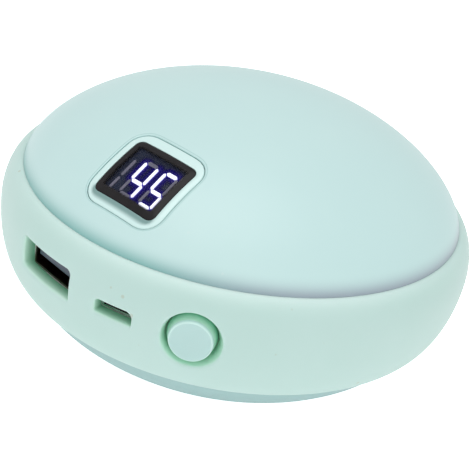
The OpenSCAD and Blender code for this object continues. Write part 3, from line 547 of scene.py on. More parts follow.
def makeTopCover(t):
    skin = Skin()

    def cutLoop(grow, shift=0.0, sink=0.0, inset=0.0):
        # the cut's lower edge is chamfered less, so a grown loop also moves up the slope
        loop = frameLoop(t["clearance"] + grow)
        return onLayer([(x, y + t["chamferShift"] * shift) for x, y in loop], inset, sink)

    marks = t["edgeMarks"]
    steps = len(marks) - 3
    chamfer = [cutLoop(t["chamferWide"] * wide, 1 - k / steps, t["chamferDeep"] * deep)
               for k, (wide, deep) in enumerate(rollSteps(steps))]
    around = [cutLoop(t["chamferWide"] + grow, 1) for grow in t["around"]]
    domeSheet(skin, 0.0, [chamfer[0]] + around, [marks[0]] + [0.0] * len(around), t["faceKeepOut"], t["rings"],
              t["columns"], t["faceEnd"])
    inner = cutLoop(0, inset=pebble["coverWall"])
    skin.loft(chamfer + [cutLoop(0, sink=t["wallStart"]), inner], marks)
    domeSheet(skin, pebble["coverWall"], [inner], marks[-1:], t["innerKeepOut"], t["rings"] // 2, t["columns"],
              t["innerEnd"])
    # rim: on down the dome, round its edge, under it, round the skirt and back inside
    rim, seam, edge = pebble["rimHigh"], pebble["seamHigh"], t["edgeRound"]
    profile = [domeProfile(math.radians(t["faceEnd"] + (t["rimEnd"] - t["faceEnd"]) * k / t["rimSteps"]))
               for k in range(t["rimSteps"] + 1)]
    startZ = profile[-1][1]
    for k in range(1, t["roundSteps"] + 1):
        bend = math.pi / 2 * k / t["roundSteps"]
        profile.append((rim - edge * (1 - math.cos(bend)),
                        max(seam + t["lipRise"], startZ - edge * math.sin(bend))))
    skirt = rim - pebble["frameInner"] - pebble["fitGap"]
    inside, foot = skirt - pebble["skirtWall"], seam - pebble["skirtHeight"]
    profile += [(rim - t["lipStart"], seam + t["lipRise"]), (rim - t["lipEnd"], seam), (skirt, seam),
                (skirt, foot), (inside, foot), (inside, seam + pebble["skirtWall"]),
                domeProfile(math.radians(t["innerEnd"]), pebble["coverWall"])]
    turns = [2 * math.pi * k / t["columns"] for k in range(t["columns"])]
    skin.loft([[Vector((r * math.cos(turn), r * math.sin(turn), z)) for turn in turns] for r, z in profile],
              [seamShade(z) for r, z in profile])
    return skin.build("topCover")


settle(makeTopCover(topCover), "body", "cover", coverLook, "top_cover")
print("top cover made")

# Side band: the soft ring with its three openings, each with a rolled lip
# lipMark and wallMark paint shade in the openings; lightRun, lightFade and lightTurn set a painted highlight along
# the upper edge
sideBand = {"columns": 300, "upperRows": 14, "lowerRows": 20, "upperRun": 9.1, "lowerRun": 15.9,
            "guard": 2.2, "around": (0.35, 0.8, 1.4), "lipSteps": 6, "lipMark": 0.8, "wallSteps": 4,
            "wallMark": 3.0, "lightRun": 5.5, "lightFade": 1.3, "lightTurn": 0.5}


def portLoop(port, grow):
    # a grown loop also moves sideways and down, so that the lip is softest there
    move = max(0.0, min(1.0, grow / port["lip"]))
    if "faceWidth" in port:
        loop = [(x + port["shift"] * (grow >= 0), z) for x, z in roundLoop(port["faceWidth"] / 2 + grow)]
    else:
        loop = softLoop(port["wide"], port["high"], port["upperCorner"], port["lowerCorner"], grow, 7, 16)
    return [(x + port["lean"][0] * move, z + port["lean"][1] * move) for x, z in loop]


def onBand(port, points, sink=0.0, inset=0.0):
    return [atPort(port, x, bandDepth(port, x, z, inset) + sink, z) for x, z in points]


def makeSideBand(t):
    skin = Skin()
    wall, wallMark = pebble["bandWall"], t["wallMark"]
    wholeRun = t["upperRun"] + t["lowerRun"]
    # each opening with how much wider it is at the band's inner face than at the end of its lip
    openings = [(outputPort, 0.0), (inputPort, 0.0),
                (buttonHole, (buttonHole["backWidth"] - buttonHole["faceWidth"]) / 2)]

    def rowOf(z, inset):
        upper = z > pebble["middle"]
        rise = (pebble["bandRise"] if upper else pebble["bandDrop"]) - inset
        angle = math.acos(min(1.0, abs(z - pebble["middle"]) / rise)) / (math.pi / 2)
        return t["upperRun"] * angle if upper else t["upperRun"] + t["lowerRun"] * (1 - angle)

    def profileAt(row, inset):
        upper = row < t["upperRun"]
        angle = math.pi / 2 * (row / t["upperRun"] if upper else 1 - (row - t["upperRun"]) / t["lowerRun"])
        rim = pebble["rimHigh"] if upper else pebble["rimLow"]
        rise = pebble["bandRise"] - inset if upper else inset - pebble["bandDrop"]
        return rim - inset + (pebble["halfWidth"] - rim) * math.sin(angle), pebble["middle"] + rise * math.cos(angle)

    def around(turn, radius, z):
        return Vector((radius * math.sin(turn), -radius * math.cos(turn), z))

    def layer(inset, lips):
        # one face of the band, spread out flat and cut out round each lip
        spots, loops, holes, guards = [], [], [], []
        reach = pebble["halfWidth"] - inset

        def unrolled(points):
            return [(math.atan2(spot.x, -spot.y) * reach, rowOf(spot.z, inset)) for spot in points]

        for port, grow, lipMark in lips:
            rings = [onBand(port, portLoop(port, grow + extra), 0.0, inset) for extra in (0.0,) + t["around"]]
            loops.append([len(spots) + k for k in range(len(rings[0]))])
            holes.append(unrolled(rings[0]))
            for number, ring in enumerate(rings):
                spots += [(flat, spot, 0.0 if number else lipMark) for flat, spot in zip(unrolled(ring), ring)]
            guards.append(unrolled(onBand(port, portLoop(port, grow + t["guard"]), 0.0, inset)))
        rows = [t["upperRun"] * (k / t["upperRows"]) for k in range(t["upperRows"])]
        rows += [t["upperRun"] + t["lowerRun"] * k / t["lowerRows"] for k in range(t["lowerRows"] + 1)]
        for column in range(t["columns"] + 1):
            turn = 2 * math.pi * column / t["columns"] - math.pi
            for row in rows:
                if any(insideLoop(turn * reach, row, guard) for guard in guards):
                    continue
                # painted highlight: the upper edge is a little lighter, most towards the front
                paintedHighlight = max(0.0, 1 - row / t["lightRun"]) ** t["lightFade"] * max(0.0, math.cos(turn - t["lightTurn"]))
                spots.append(((turn * reach, row), around(turn, *profileAt(row, inset)),
                              wallMark if inset else -paintedHighlight))
        skin.sheet(spots, loops, holes)

    layer(0.0, [(port, port["lip"], 0.0) for port, wider in openings])
    layer(wall, [(port, wider, wallMark) for port, wider in openings])
    for port, wider in openings:
        steps = rollSteps(t["lipSteps"])
        loops = [onBand(port, portLoop(port, port["lip"] * wide), port["lip"] * deep) for wide, deep in steps]
        # painted shade: the marks grow as the lip rolls in and on down the wall
        marks = [deep * t["lipMark"] for wide, deep in steps]
        # straight or coned wall from the lip to the inner face
        for share in sharesOf(t["wallSteps"]):
            spots = []
            for (ax, az), (bx, bz) in zip(portLoop(port, 0.0), portLoop(port, wider)):
                front, end = bandDepth(port, ax, az) + port["lip"], bandDepth(port, bx, bz, wall)
                spots.append(atPort(port, ax + (bx - ax) * share, front + (end - front) * share,
                                    az + (bz - az) * share))
            loops.append(spots)
            marks.append(t["lipMark"] + (wallMark - t["lipMark"]) * share)
        skin.loft(loops, marks)
    turns = [2 * math.pi * k / t["columns"] - math.pi for k in range(t["columns"])]
    for row in (0.0, wholeRun):
        outer, inner = profileAt(row, 0.0), profileAt(row, wall)
        skin.loft([[around(turn, radius, z) for turn in turns]
                   for radius, z in (outer, (outer[0] - wall, outer[1]), inner)], [0.0, wallMark, wallMark])
    return skin.build("sideBand")


settle(makeSideBand(sideBand), "body", "band", bandLook, "side_band")
print("side band made")

# Bezel: the frame round the window, with a rolled outer edge, a soft window lip and the tube behind it
# the marks paint shade: deepMark on the back and tube, sideMark and rollMark on the outer edge, lipShade, lipMark and
# the shade keys round the window
bezel = {"edgeRound": 0.25, "windowRound": 0.14, "rollSteps": 5, "sideStart": 0.4, "sink": 0.1, "steps": 10,
         "seat": 0.65, "back": 2.2, "deepMark": 2.0, "sideMark": 1.2, "rollMark": 0.6, "lipShade": 0.9,
         "lipMark": 0.3, "shadeBelow": 2.2, "shadeRight": 0.7, "shadeLeast": 0.15, "shadeStart": 0.08,
         "shadeRun": 4, "shadeSlant": 0.6}


def windowShade(x, y, t):
    # painted shadow on the bezel beside the window: full below it, less at its right, faint elsewhere
    def beside(most, out, along):
        return min(most, most * (out - t["shadeSlant"] * abs(along)) / t["shadeRun"])

    return max(t["shadeLeast"], beside(t["shadeBelow"], -y, x), beside(t["shadeRight"], x, y))


def makeBezel(t):
    skin = Skin()
    sink, edge, lip, deepMark = t["sink"], t["edgeRound"], t["windowRound"], t["deepMark"]
    roll = list(enumerate(rollSteps(t["rollSteps"])))
    first, last = frameLoop(-edge), windowLoop(lip)
    shades = [windowShade(x, y, t) for x, y in first]
    # rows are loops with their painted-shade marks: back, side, rolled edge, face, window lip, seat and tube
    rows = [(onLayer(windowLoop(display["tubeWall"]), t["back"]), deepMark),
            (onLayer(frameLoop(), sink, t["back"] - sink), deepMark),
            (onLayer(frameLoop(), sink, edge + t["sideStart"]), t["sideMark"])]
    rows += [(onLayer(frameLoop(-edge * wide), sink, edge * deep), t["rollMark"] * k / t["rollSteps"])
             for k, (wide, deep) in reversed(roll)]
    for share in sharesOf(t["steps"])[:-1]:
        face = [(ax + (bx - ax) * share, ay + (by - ay) * share) for (ax, ay), (bx, by) in zip(first, last)]
        rows.append((onLayer(face, sink), [max(0.0, share - t["shadeStart"]) * shade for shade in shades]))
    rows += [(onLayer(windowLoop(lip * wide), sink, lip * deep),
              [t["lipShade"] * shade + t["lipMark"] * k / t["rollSteps"] for shade in shades])
             for k, (wide, deep) in roll]
    rows += [(onLayer(windowLoop(grow), t["seat"]), deepMark) for grow in (0, -display["ledge"])]
    back = display["faceDepth"] + display["moduleDepth"]
    rows += [([atDisplay(x, y, back) for x, y in windowLoop(grow)], deepMark)
             for grow in (-display["ledge"], display["tubeWall"])]
    skin.loft([loop for loop, marks in rows], [marks for loop, marks in rows], joined=True)
    return skin.build("displayBezel")


settle(makeBezel(bezel), "body", "bezel", bezelLook, "display_bezel")

# Lens: smoked sheet in the window, its underside printed dark round the clear field
lens = {"sink": 0.15, "backInset": 0.6, "gap": 0.05, "edgeRound": 0.12, "rings": 12, "planSize": 20.0,
        "clearLeft": -5.9, "clearRight": 5.6, "clearLow": -4.85, "clearHigh": 5.2, "clearSoft": 0.45,
        "clearAlpha": 0.16}


def makeLens(t):
    skin = Skin()

    def shrunk(share, inset):
        return onLayer([(x * share, y * share) for x, y in windowLoop(-t["gap"] - t["edgeRound"])], inset)

    backs = [shrunk(share, t["backInset"]) for share in sharesOf(t["rings"])]
    fronts = [shrunk(share, t["sink"]) for share in reversed(sharesOf(t["rings"]))]
    side = [onLayer(windowLoop(-t["gap"]), t["backInset"])]
    side += [onLayer(windowLoop(-t["gap"] - t["edgeRound"] * wide), t["sink"], t["edgeRound"] * deep)
             for wide, deep in rollSteps(3)[:0:-1]]
    skin.loft(backs + side + fronts)
    skin.fan(backs[0], onLayer([(0, 0)], t["backInset"])[0])
    skin.fan(fronts[-1], onLayer([(0, 0)], t["sink"])[0])
    piece = skin.build("displayLens")
    plan = piece.data.uv_layers.new(name="plan")
    inverse = displayTurn.transposed()
    for corner in piece.data.loops:
        spot = inverse @ (piece.data.vertices[corner.vertex_index].co * 1000 - displayMiddle)
        plan.data[corner.index].uv = (spot.x / t["planSize"] + 0.5, spot.y / t["planSize"] + 0.5)
    return piece


def fieldMask(tree, t):
    # one inside the clear field and zero on the printed border, with a soft change between them
    plan = addNode(tree, "ShaderNodeUVMap", {"uv_map": "plan"}).outputs[0]
    parts = addNode(tree, "ShaderNodeSeparateXYZ", Vector=plan).outputs
    soft, mask = t["clearSoft"], 1.0
    for part, low, high in ((parts[0], t["clearLeft"], t["clearRight"]), (parts[1], t["clearLow"], t["clearHigh"])):
        across = addNode(tree, "ShaderNodeMath", {"operation": "MULTIPLY_ADD"}, i0=part, i1=t["planSize"],
                         i2=-t["planSize"] / 2).outputs[0]
        mask = mathNode(tree, "MULTIPLY", mask, spread(tree, across, low - soft, low + soft))
        mask = mathNode(tree, "MULTIPLY", mask, spread(tree, across, high - soft, high + soft, 1.0, 0.0))
    return mask


lensLook, tree, shader = startMaterial("smokedLens", Specular_IOR_Level=0.12)
colour = layMoulded(tree, shader, (0.019, 0.018, 0.019), (0.024, 0.022, 0.024), 0.12, 300.0, 1500.0, 0.02, 0.06)
feed(tree, shader, Base_Color=colour, Alpha=spread(tree, fieldMask(tree, lens), 0.0, 1.0, 1.0, lens["clearAlpha"]))
settle(makeLens(lens), "body", "lens", lensLook, "display_lens")
print("bezel and lens made")

# Digits: bars of a seven-bar display, the leading one with two; lit bars read forty-five
digits = {"high": 7.6, "wide": 2.736, "pitch": 4.598, "shiftX": -1.254, "shiftY": -0.502, "leadX": -0.28,
          "leadY": -0.55, "middle": -0.075, "barWide": 0.52, "levelWide": 0.7, "barDeep": 0.2, "gap": 0.34,
          "lit": {0: "bcfg", 1: "acdfg"}, "leading": "bc"}
# sides of a digit: share across its width, shares of its height at both ends
barSpots = {"a": (0, 0.5, 0.5), "b": (0.5, digits["middle"], 0.5), "c": (0.5, -0.5, digits["middle"]),
            "d": (0, -0.5, -0.5), "e": (-0.5, -0.5, digits["middle"]), "f": (-0.5, digits["middle"], 0.5),
            "g": (0, digits["middle"], digits["middle"])}


def barTree():
    # instances one pointed bar on each point of the mesh that the modifier is on
    tree, given, result = startTree("pointedBars", "GeometryNodeTree", [
        ("Geometry", "Geometry", None), ("Length", "Float", None), ("Width", "Float", None),
        ("Depth", "Float", None), ("Turn", "Float", None), ("Material", "Material", None)],
        [("Geometry", "Geometry")])
    block = addNode(tree, "GeometryNodeMeshCylinder", Vertices=6, Radius=1.0, Depth=given["Depth"]).outputs["Mesh"]
    parts = addNode(tree, "ShaderNodeSeparateXYZ",
                    Vector=addNode(tree, "GeometryNodeInputPosition").outputs[0]).outputs
    # the block has two tips at 1 and four corners at a half, which become the bar's shoulders
    isTip = mathNode(tree, "GREATER_THAN", mathNode(tree, "ABSOLUTE", parts[0]), 0.75)
    halfLength = mathNode(tree, "MULTIPLY", given["Length"], 0.5)
    shoulder = mathNode(tree, "MULTIPLY", given["Width"], 0.5)
    reach = mathNode(tree, "SUBTRACT", halfLength, mathNode(tree, "MULTIPLY", shoulder,
                                                            mathNode(tree, "SUBTRACT", 1.0, isTip)))
    newX = mathNode(tree, "MULTIPLY", mathNode(tree, "SIGN", parts[0]), reach)
    newY = mathNode(tree, "MULTIPLY", parts[1], mathNode(tree, "DIVIDE", shoulder, math.sqrt(0.75)))
    corners = addNode(tree, "ShaderNodeCombineXYZ", X=newX, Y=newY, Z=parts[2]).outputs[0]
    shaped = addNode(tree, "GeometryNodeSetPosition", Geometry=block, Position=corners).outputs[0]
    turn = addNode(tree, "ShaderNodeCombineXYZ", Z=given["Turn"]).outputs[0]
    placed = addNode(tree, "GeometryNodeInstanceOnPoints", Points=given["Geometry"], Instance=shaped,
                     Rotation=turn).outputs[0]
    finishTree(tree, placed, given, result)
    return tree


def finishTree(tree, geometry, given, result):
    solid = addNode(tree, "GeometryNodeRealizeInstances", Geometry=geometry).outputs[0]
    finished = addNode(tree, "GeometryNodeSetMaterial", Geometry=solid, Material=given["Material"]).outputs[0]
    feed(tree, result, Geometry=finished)


def runTree(name, tree, mesh, settings):
    # puts the tree on the mesh, sets its named inputs and keeps the plain mesh that comes out
    holder = addObject(name + "Points", mesh)
    modifier = holder.modifiers.new("nodes", "NODES")
    modifier.node_group = tree
    for item in tree.interface.items_tree:
        if item.in_out == "INPUT" and item.name in settings:
            modifier[item.identifier] = settings[item.name]
    evaluated = holder.evaluated_get(bpy.context.evaluated_depsgraph_get())
    plain = bpy.data.meshes.new_from_object(evaluated)
    holder.modifiers.clear()
    bpy.data.objects.remove(holder)
    plain.name = name
    return plain


def barPlaces(wanted):
    # middles of the bars, gathered by their length and turn; wanted says which bars of which digit
    spots = {}
    for digit in (-1, 0, 1):
        for bar, (x, low, high) in barSpots.items():
            if wanted(digit, bar):
                length = (high - low) * digits["high"] or digits["wide"]
                kind = (length - digits["gap"], digits["barWide"] if high > low else digits["levelWide"], high > low)
                moveX, moveY = (digits["leadX"], digits["leadY"]) if digit < 0 else (0.0, 0.0)
                spots.setdefault(kind, []).append(
                    (digit * digits["pitch"] + x * digits["wide"] + digits["shiftX"] + moveX,
                     (low + high) / 2 * digits["high"] + digits["shiftY"] + moveY))
    return spots


def isLit(digit, bar):
    return digit >= 0 and bar in digits["lit"][digit]


def isDim(digit, bar):
    return not isLit(digit, bar) and (digit >= 0 or bar in digits["leading"])


def makeBars(name, wanted, tree, material):
    joined = bmesh.new()
    for (length, width, upright), spots in barPlaces(wanted).items():
        mesh = bpy.data.meshes.new(name + "Spots")
        mesh.from_pydata([(x, y, 0) for x, y in spots], [], [])
        joined.from_mesh(runTree(name, tree, mesh, {"Length": length, "Width": width, "Depth": digits["barDeep"],
                                                    "Turn": upright * math.pi / 2, "Material": material}))
    for vert in joined.verts:
        x, y, z = vert.co
        vert.co = atDisplay(x, y, display["faceDepth"] - digits["barDeep"] / 2 - z) * 0.001
    mesh = bpy.data.meshes.new(name)
    joined.to_mesh(mesh)
    joined.free()
    return addObject(name, mesh)


litLook, tree, shader = startMaterial("litBar", Emission_Strength=1.35, Specular_IOR_Level=0.1)
colour = layMoulded(tree, shader, (0.8, 0.82, 1.0), (0.9, 0.92, 1.0), 0.5, 700.0, outputs=("Roughness",))
feed(tree, shader, Base_Color=colour, Emission_Color=mixColours(tree, 0.5, colour, (0.86, 0.85, 1.0)))
dimLook = mouldedMaterial("dimBar", (0.27, 0.27, 0.36), (0.33, 0.32, 0.43), 0.5, 500.0, Specular_IOR_Level=0.1)
bars = barTree()
settle(makeBars("litBars", isLit, bars, litLook), "body", "segments", litLook, "segment_bars")
settle(makeBars("dimBars", isDim, bars, dimLook), "body", "segments", dimLook, "segment_bars")
print("digits made")

# Panel behind the digits: a block whose face glows blue round the lit bars
panel = {"wide": 13.0, "long": 11.8, "columns": 76, "rows": 70, "corner": 1.4, "rimShare": 0.985,
         "glowReach": 0.95, "glowFade": 1.4}


def makePanel(t):
    skin = Skin()
    lines = []
    for (length, width, upright), spots in barPlaces(isLit).items():
        half = (length - width) / 2
        for x, y in spots:
            ends = ((x, y - half), (x, y + half)) if upright else ((x - half, y), (x + half, y))
            lines.append([Vector(end) for end in ends])

    def glowAt(x, y):
        glow = 0.0
        for a, b in lines:
            along = max(0.0, min(1.0, (Vector((x, y)) - a).dot(b - a) / (b - a).length_squared))
            away = (Vector((x, y)) - a - (b - a) * along).length
            glow = max(glow, math.exp(-(away / t["glowReach"]) ** t["glowFade"]))
        return glow

    rim = softLoop(t["wide"], t["long"], t["corner"], t["corner"])
    inner = [(x * t["rimShare"], y * t["rimShare"]) for x, y in rim]
    grid = [(t["wide"] * (column / t["columns"] - 0.5), t["long"] * (row / t["rows"] - 0.5))
            for row in range(1, t["rows"]) for column in range(1, t["columns"])]
    face, back = display["faceDepth"], display["faceDepth"] + display["moduleDepth"]
    spots = rim + [(x, y) for x, y in grid if insideLoop(x, y, inner)]
    skin.sheet([((x, y), atDisplay(x, y, face), glowAt(x, y)) for x, y in spots], [list(range(len(rim)))], [])
    backRim = [atDisplay(x, y, back) for x, y in rim]
    skin.loft([[atDisplay(x, y, face) for x, y in rim], backRim])
    skin.fan(backRim, atDisplay(0, 0, back))
    return skin.build("displayPanel")


panelLook, tree, shader = startMaterial("panelNavy", Specular_IOR_Level=0.08, Emission_Strength=1.0)
colour = layMoulded(tree, shader, (0.028, 0.040, 0.082), (0.036, 0.050, 0.1), 0.4, 420.0, 2500.0)
glow = markOf(tree)
blueGlow = mixColours(tree, spread(tree, glow, 0.06, 0.5), (0.0, 0.0, 0.0), (0.004, 0.0, 0.135))
feed(tree, shader, Base_Color=mixColours(tree, spread(tree, glow, 0.02, 0.3), colour, (0.002, 0.001, 0.03)),
     Emission_Color=mixColours(tree, spread(tree, glow, 0.62, 0.9), blueGlow, (0.12, 0.09, 0.62)))
settle(makePanel(panel), "body", "dark_plastic", panelLook, "display_module")
print("panel made")

# Button: cap with a crisp soft edge and a faint dish, coned skirt, barrel and flange
# edgeMarks below zero paint a highlight on the cap's edge; marks above zero, with coneMarks and deepMark, paint shade
# down the cone and onto the barrel and flange
powerButton = {"capWidth": 8.1, "capRound": 0.42, "roundDeep": 1.1, "shift": 0.2, "dish": 0.12, "dishRows": 8,
               "rowSpread": 0.6, "dishFade": 1.2, "edgeMarks": (-0.8, -0.8, -0.5, 0.1, 0.7, 0.8),
               "barrelWidth": 9.0, "coneEnd": 2.5, "coneSteps": 4, "coneMarks": (0.7, 2.8),
               "flangeStart": 6.2, "flangeEnd": 7.0, "flangeWidth": 10.8, "deepMark": 3.0, "count": 96}


def makeButton(t):
    skin = Skin()
    half, edge, barrel, flange = t["capWidth"] / 2, t["capRound"], t["barrelWidth"] / 2, t["flangeWidth"] / 2
    startMark, endMark = t["coneMarks"]
    # rows of radius, depth and mark: dished cap, its edge with a painted highlight, the cone, the barrel and the
    # flange, all three in painted shade
    profile = [((half - edge) * share ** t["rowSpread"], t["dish"] * (1 - share ** t["dishFade"]), 0.0)
               for share in sharesOf(t["dishRows"])]
    profile += [(half - edge * wide, t["roundDeep"] * deep, mark)
                for (wide, deep), mark in zip(rollSteps(len(t["edgeMarks"]))[1:], t["edgeMarks"])]
    profile += [(half + (barrel - half) * share, t["roundDeep"] + (t["coneEnd"] - t["roundDeep"]) * share,
                 startMark + (endMark - startMark) * share) for share in sharesOf(t["coneSteps"])]
    profile += [(radius, depth, t["deepMark"]) for radius, depth in (
        (barrel, t["flangeStart"]), (flange, t["flangeStart"]), (flange, t["flangeEnd"]))]
    loops = [[atPort(buttonHole, x + t["shift"] * max(0.0, 1 - depth / t["coneEnd"]), depth, z)
              for x, z in roundLoop(radius, t["count"])] for radius, depth, mark in profile]
    skin.loft(loops, [mark for radius, depth, mark in profile])
    skin.fan(loops[0], atPort(buttonHole, t["shift"], t["dish"], 0))
    skin.fan(loops[-1], atPort(buttonHole, 0, t["flangeEnd"], 0), t["deepMark"])
    return skin.build("powerButton")


settle(makeButton(powerButton), "button", "bezel", buttonLook, "power_button")
print("button made")

# Tongue of the output port: a bar across its nose just behind the shell's rim, the tongue and the block behind it
tongue = {"wide": 11.1, "high": 1.824, "lift": 0.741, "nose": 3.1, "noseRound": 0.35, "corner": 0.25,
          "barEnd": 4.3, "barHigh": 2.3, "barLift": 0.503,
          "blockStart": 13.18, "blockEnd": 16.7, "blockWide": 12.4, "blockHigh": 5.0}


def makeTongue(t):
    skin = Skin()

    def ring(wide, high, lift, depth, grow=0.0):
        return [atPort(outputPort, x, depth, z + lift)
                for x, z in softLoop(wide, high, t["corner"], t["corner"], grow, 4, 8)]

    bar = (t["wide"], t["barHigh"], t["barLift"])
    blade = (t["wide"], t["high"], t["lift"])
    block = (t["blockWide"], t["blockHigh"], 0)
    loops = [ring(*bar, t["nose"] + t["noseRound"] * deep, -t["noseRound"] * wide) for wide, deep in rollSteps(4)]
    loops += [ring(*bar, t["barEnd"]), ring(*blade, t["barEnd"]), ring(*blade, t["blockStart"]),
              ring(*block, t["blockStart"]), ring(*block, t["blockEnd"])]
    skin.loft(loops)
    skin.fan(loops[0], atPort(outputPort, 0, t["nose"], t["barLift"]))
    skin.fan(loops[-1], atPort(outputPort, 0, t["blockEnd"], 0))
    return skin.build("outputTongue")


settle(makeTongue(tongue), "body", "tongue", tongueLook, "usb_a_tongue")

# Wires: sleeves swept along smooth runs, one piece for each colour; a run's points hold their place and
# how far a wire of the pair stands off it sideways
wires = {"thick": 1.2, "thin": 0.9, "drop": 2.4, "filmInset": 2.1, "sensorHigh": 2.3, "steps": 8, "sides": 14}
underFilm = domeHeight(-5.76, 12.48, wires["filmInset"]) - wires["thin"]
underSensor = domeHeight(11.66, 5.9, wires["filmInset"]) - wires["sensorHigh"]
wireRuns = {
    "battery": [(28.8, 10.56, 8.7, 0, 1.2), (33.3, 10.56, 13.2, 0, 1.2), (33.3, 10.56, 20.2, 0, 1.2),
                (27.69, 0.66, 26.0, -1.2, 1.2), (22.08, -9.24, 23.6, -1.2, 0)],
    "upper": [(-5.76, 12.48, underFilm, 2.4, 0), (-5.76, 10.08, underFilm - wires["drop"], 2.4, 0),
              (-10.08, -2.19, 30.8, 1.2, 0), (-10.08, -9.39, 23.6, 1.2, 0)],
    "lower": [(-27.36, 10.56, 3.05, 0, 1.2), (-30.9, 10.56, 6.6, 0, 1.2), (-30.9, 10.56, 21.4, 0, 1.2),
              (-22.08, -4.59, 26.0, 1.2, 0), (-22.08, -9.39, 23.6, 1.2, 0)],
    "sensor": [(10.56, 4.8, underSensor - wires["thin"] / 4, 0.55, 0),
               (10.56, 4.8, underSensor - wires["drop"], 1.1, 0), (10.08, -2.19, 30.8, 1.2, 0),
               (10.08, -9.39, 23.6, 1.2, 0)],
}


def sleeveTree():
    # turns the runs of edges on the mesh into round sleeves with closed ends
    tree, given, result = startTree("sleevedWires", "GeometryNodeTree", [
        ("Geometry", "Geometry", None), ("Radius", "Float", None), ("Sides", "Int", None),
        ("Material", "Material", None)], [("Geometry", "Geometry")])
    runs = addNode(tree, "GeometryNodeMeshToCurve", Mesh=given["Geometry"]).outputs[0]
    ring = addNode(tree, "GeometryNodeCurvePrimitiveCircle", Resolution=given["Sides"],
                   Radius=given["Radius"]).outputs["Curve"]
    sleeve = addNode(tree, "GeometryNodeCurveToMesh", Curve=runs, Profile_Curve=ring, Fill_Caps=True).outputs[0]
    finishTree(tree, sleeve, given, result)
    return tree


def smoothRun(points):
    # passes smoothly through every point and keeps the two ends
    last, run = len(points) - 1, []
    for spot in range(last):
        a, b, c, d = (points[min(max(k, 0), last)] for k in range(spot - 1, spot + 3))
        for k in range(wires["steps"]):
            u = k / wires["steps"]
            run.append(b + u * (c - a) / 2 + u * u * (a - 2.5 * b + 2 * c - d / 2)
                       + u ** 3 * (3 * b - a - 3 * c + d) / 2)
    return run + [points[last]]


def makeWires(name, tree, material, width, runs):
    points, edges = [], []
    for run, side in runs:
        smooth = smoothRun([Vector((x + side * dx, y + side * dy, z)) for x, y, z, dx, dy in wireRuns[run]])
        edges += [(len(points) + k, len(points) + k + 1) for k in range(len(smooth) - 1)]
        points += [p * 0.001 for p in smooth]
    mesh = bpy.data.meshes.new(name + "Runs")
    mesh.from_pydata(points, edges, [])
    mesh = runTree(name, tree, mesh, {"Radius": width / 2000, "Sides": wires["sides"], "Material": material})
    mesh.shade_smooth()
    return addObject(name, mesh)


sleeves = sleeveTree()
for name, material, width, slotName, node, runs in (
        ("redLead", redSleeve, "thick", "lead", "battery_leads", [("battery", 1)]),
        ("blackLead", blackSleeve, "thick", "lead", "battery_leads", [("battery", -1)]),
        ("heaterWires", whiteSleeve, "thin", "thin_lead", "heater_leads",
         [("upper", 1), ("upper", -1), ("lower", 1), ("lower", -1)]),
        ("sensorWires", whiteSleeve, "thin", "thin_lead", "sensor_leads", [("sensor", 1), ("sensor", -1)])):
    settle(makeWires(name, sleeves, material, wires[width], runs), "body", slotName, material, node)
print("tongue and wires made")

# Carried-over nodes take their finishes in their own material slots
carried = (
    (baseShadeLook, ["bottom_cover"]), (frameLook, ["mid_frame"]), (outputShellLook, ["usb_a_shell"]),
    (inputShellLook, ["micro_usb_shell"]), (goldLook, ["usb_a_contacts", "micro_usb_contacts"]),
    (darkLook, ["switch_plunger", "switch_body", "micro_usb_tongue", "temperature_sensor", "power_inductor",
                "control_chips"]),
    (steelLook, ["capacitors", "cover_screws", "board_screws"]),
    (boardLook, ["circuit_board", "battery_guard_board"]), (socketLook, ["lead_sockets"]),
    (ribbonLook, ["display_cable"]), (heaterLook, ["upper_heater", "lower_heater"]),
    (cellLook, ["battery_cell"]), (padLook, ["battery_pads"]), (feltLook, ["heater_insulation"]),
)
for material, names in carried:
    for name in names:
        cadNodes[name].material_slots[0].material = material
print("carried nodes finished")

# Camera at the photograph's place, rolled as the photograph is
# focalShare is the focal length over the picture's width, both in pixels
viewpoint = {"place": (0.101879, -0.174999, 0.124294), "azimuth": 30.13, "elevation": 27.49, "roll": 11.27,
             "focalShare": 1093.54 / 470, "sensor": 36, "nearest": 0.005}


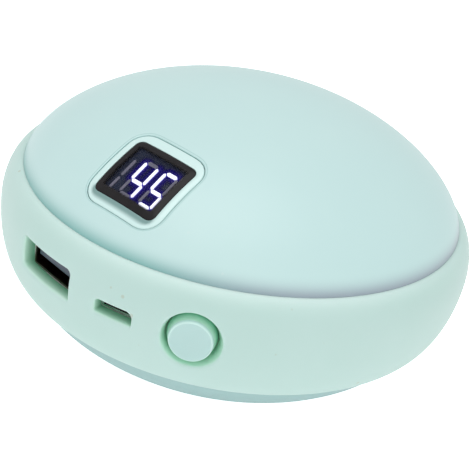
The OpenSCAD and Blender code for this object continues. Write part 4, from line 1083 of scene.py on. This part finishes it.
def makeCamera(t):
    azimuth, elevation, roll = (math.radians(t[key]) for key in ("azimuth", "elevation", "roll"))
    back = Vector((math.sin(azimuth) * math.cos(elevation), -math.cos(azimuth) * math.cos(elevation),
                   math.sin(elevation)))
    right = (-back).cross(Vector((0, 0, 1))).normalized()
    up = right.cross(-back)
    rolledRight = right * math.cos(roll) + up * math.sin(roll)
    rolledUp = up * math.cos(roll) - right * math.sin(roll)
    camera = addObject("camera", bpy.data.cameras.new("camera"))
    camera.data.sensor_width = t["sensor"]
    camera.data.lens = t["sensor"] * t["focalShare"]
    camera.data.clip_start = t["nearest"]
    turn = Matrix((rolledRight, rolledUp, back)).transposed()
    camera.matrix_world = Matrix.Translation(Vector(t["place"])) @ turn.to_4x4()
    bpy.context.scene.camera = camera


makeCamera(viewpoint)

# Pale floor and soft studio light
studio = {"floorSize": 6.0, "floorDrop": 0.0002, "world": 0.68, "floorGlow": 0.9, "floorBounce": 0.25,
          "aim": (0.0, 0.0, 0.02),
          "lights": [("keyLight", (-0.02, -0.12, 0.82), 0.7, 2.1), ("fillLight", (0.55, -0.5, 0.35), 0.6, 0.5)]}


def makeStudio(t):
    scene = bpy.context.scene
    scene.view_settings.view_transform = "Standard"
    world = bpy.data.worlds.new("studioWorld")
    world.use_nodes = True
    feed(world.node_tree, world.node_tree.nodes["Background"], Color=(1, 1, 1), Strength=t["world"])
    scene.world = world
    half = t["floorSize"] / 2
    mesh = bpy.data.meshes.new("floor")
    mesh.from_pydata([(x * half, y * half, -t["floorDrop"]) for x, y in ((-1, -1), (1, -1), (1, 1), (-1, 1))],
                     [], [(0, 1, 2, 3)])
    floor = addObject("floor", mesh)
    material, tree, shader = startMaterial("paleFloor", Roughness=0.9, Base_Color=(0.92, 0.92, 0.92),
                                           Emission_Color=(1, 1, 1))
    seen = addNode(tree, "ShaderNodeLightPath").outputs["Is Camera Ray"]
    feed(tree, shader, Emission_Strength=spread(tree, seen, 0.0, 1.0, t["floorBounce"], t["floorGlow"]))
    mesh.materials.append(material)
    for name, spot, size, power in t["lights"]:
        light = bpy.data.lights.new(name, "AREA")
        light.shape, light.size, light.energy = "DISK", size, power
        lamp = addObject(name, light)
        lamp.location = spot
        lamp.rotation_euler = (Vector(spot) - Vector(t["aim"])).to_track_quat("Z", "Y").to_euler()


makeStudio(studio)
print("camera, floor and lights placed")
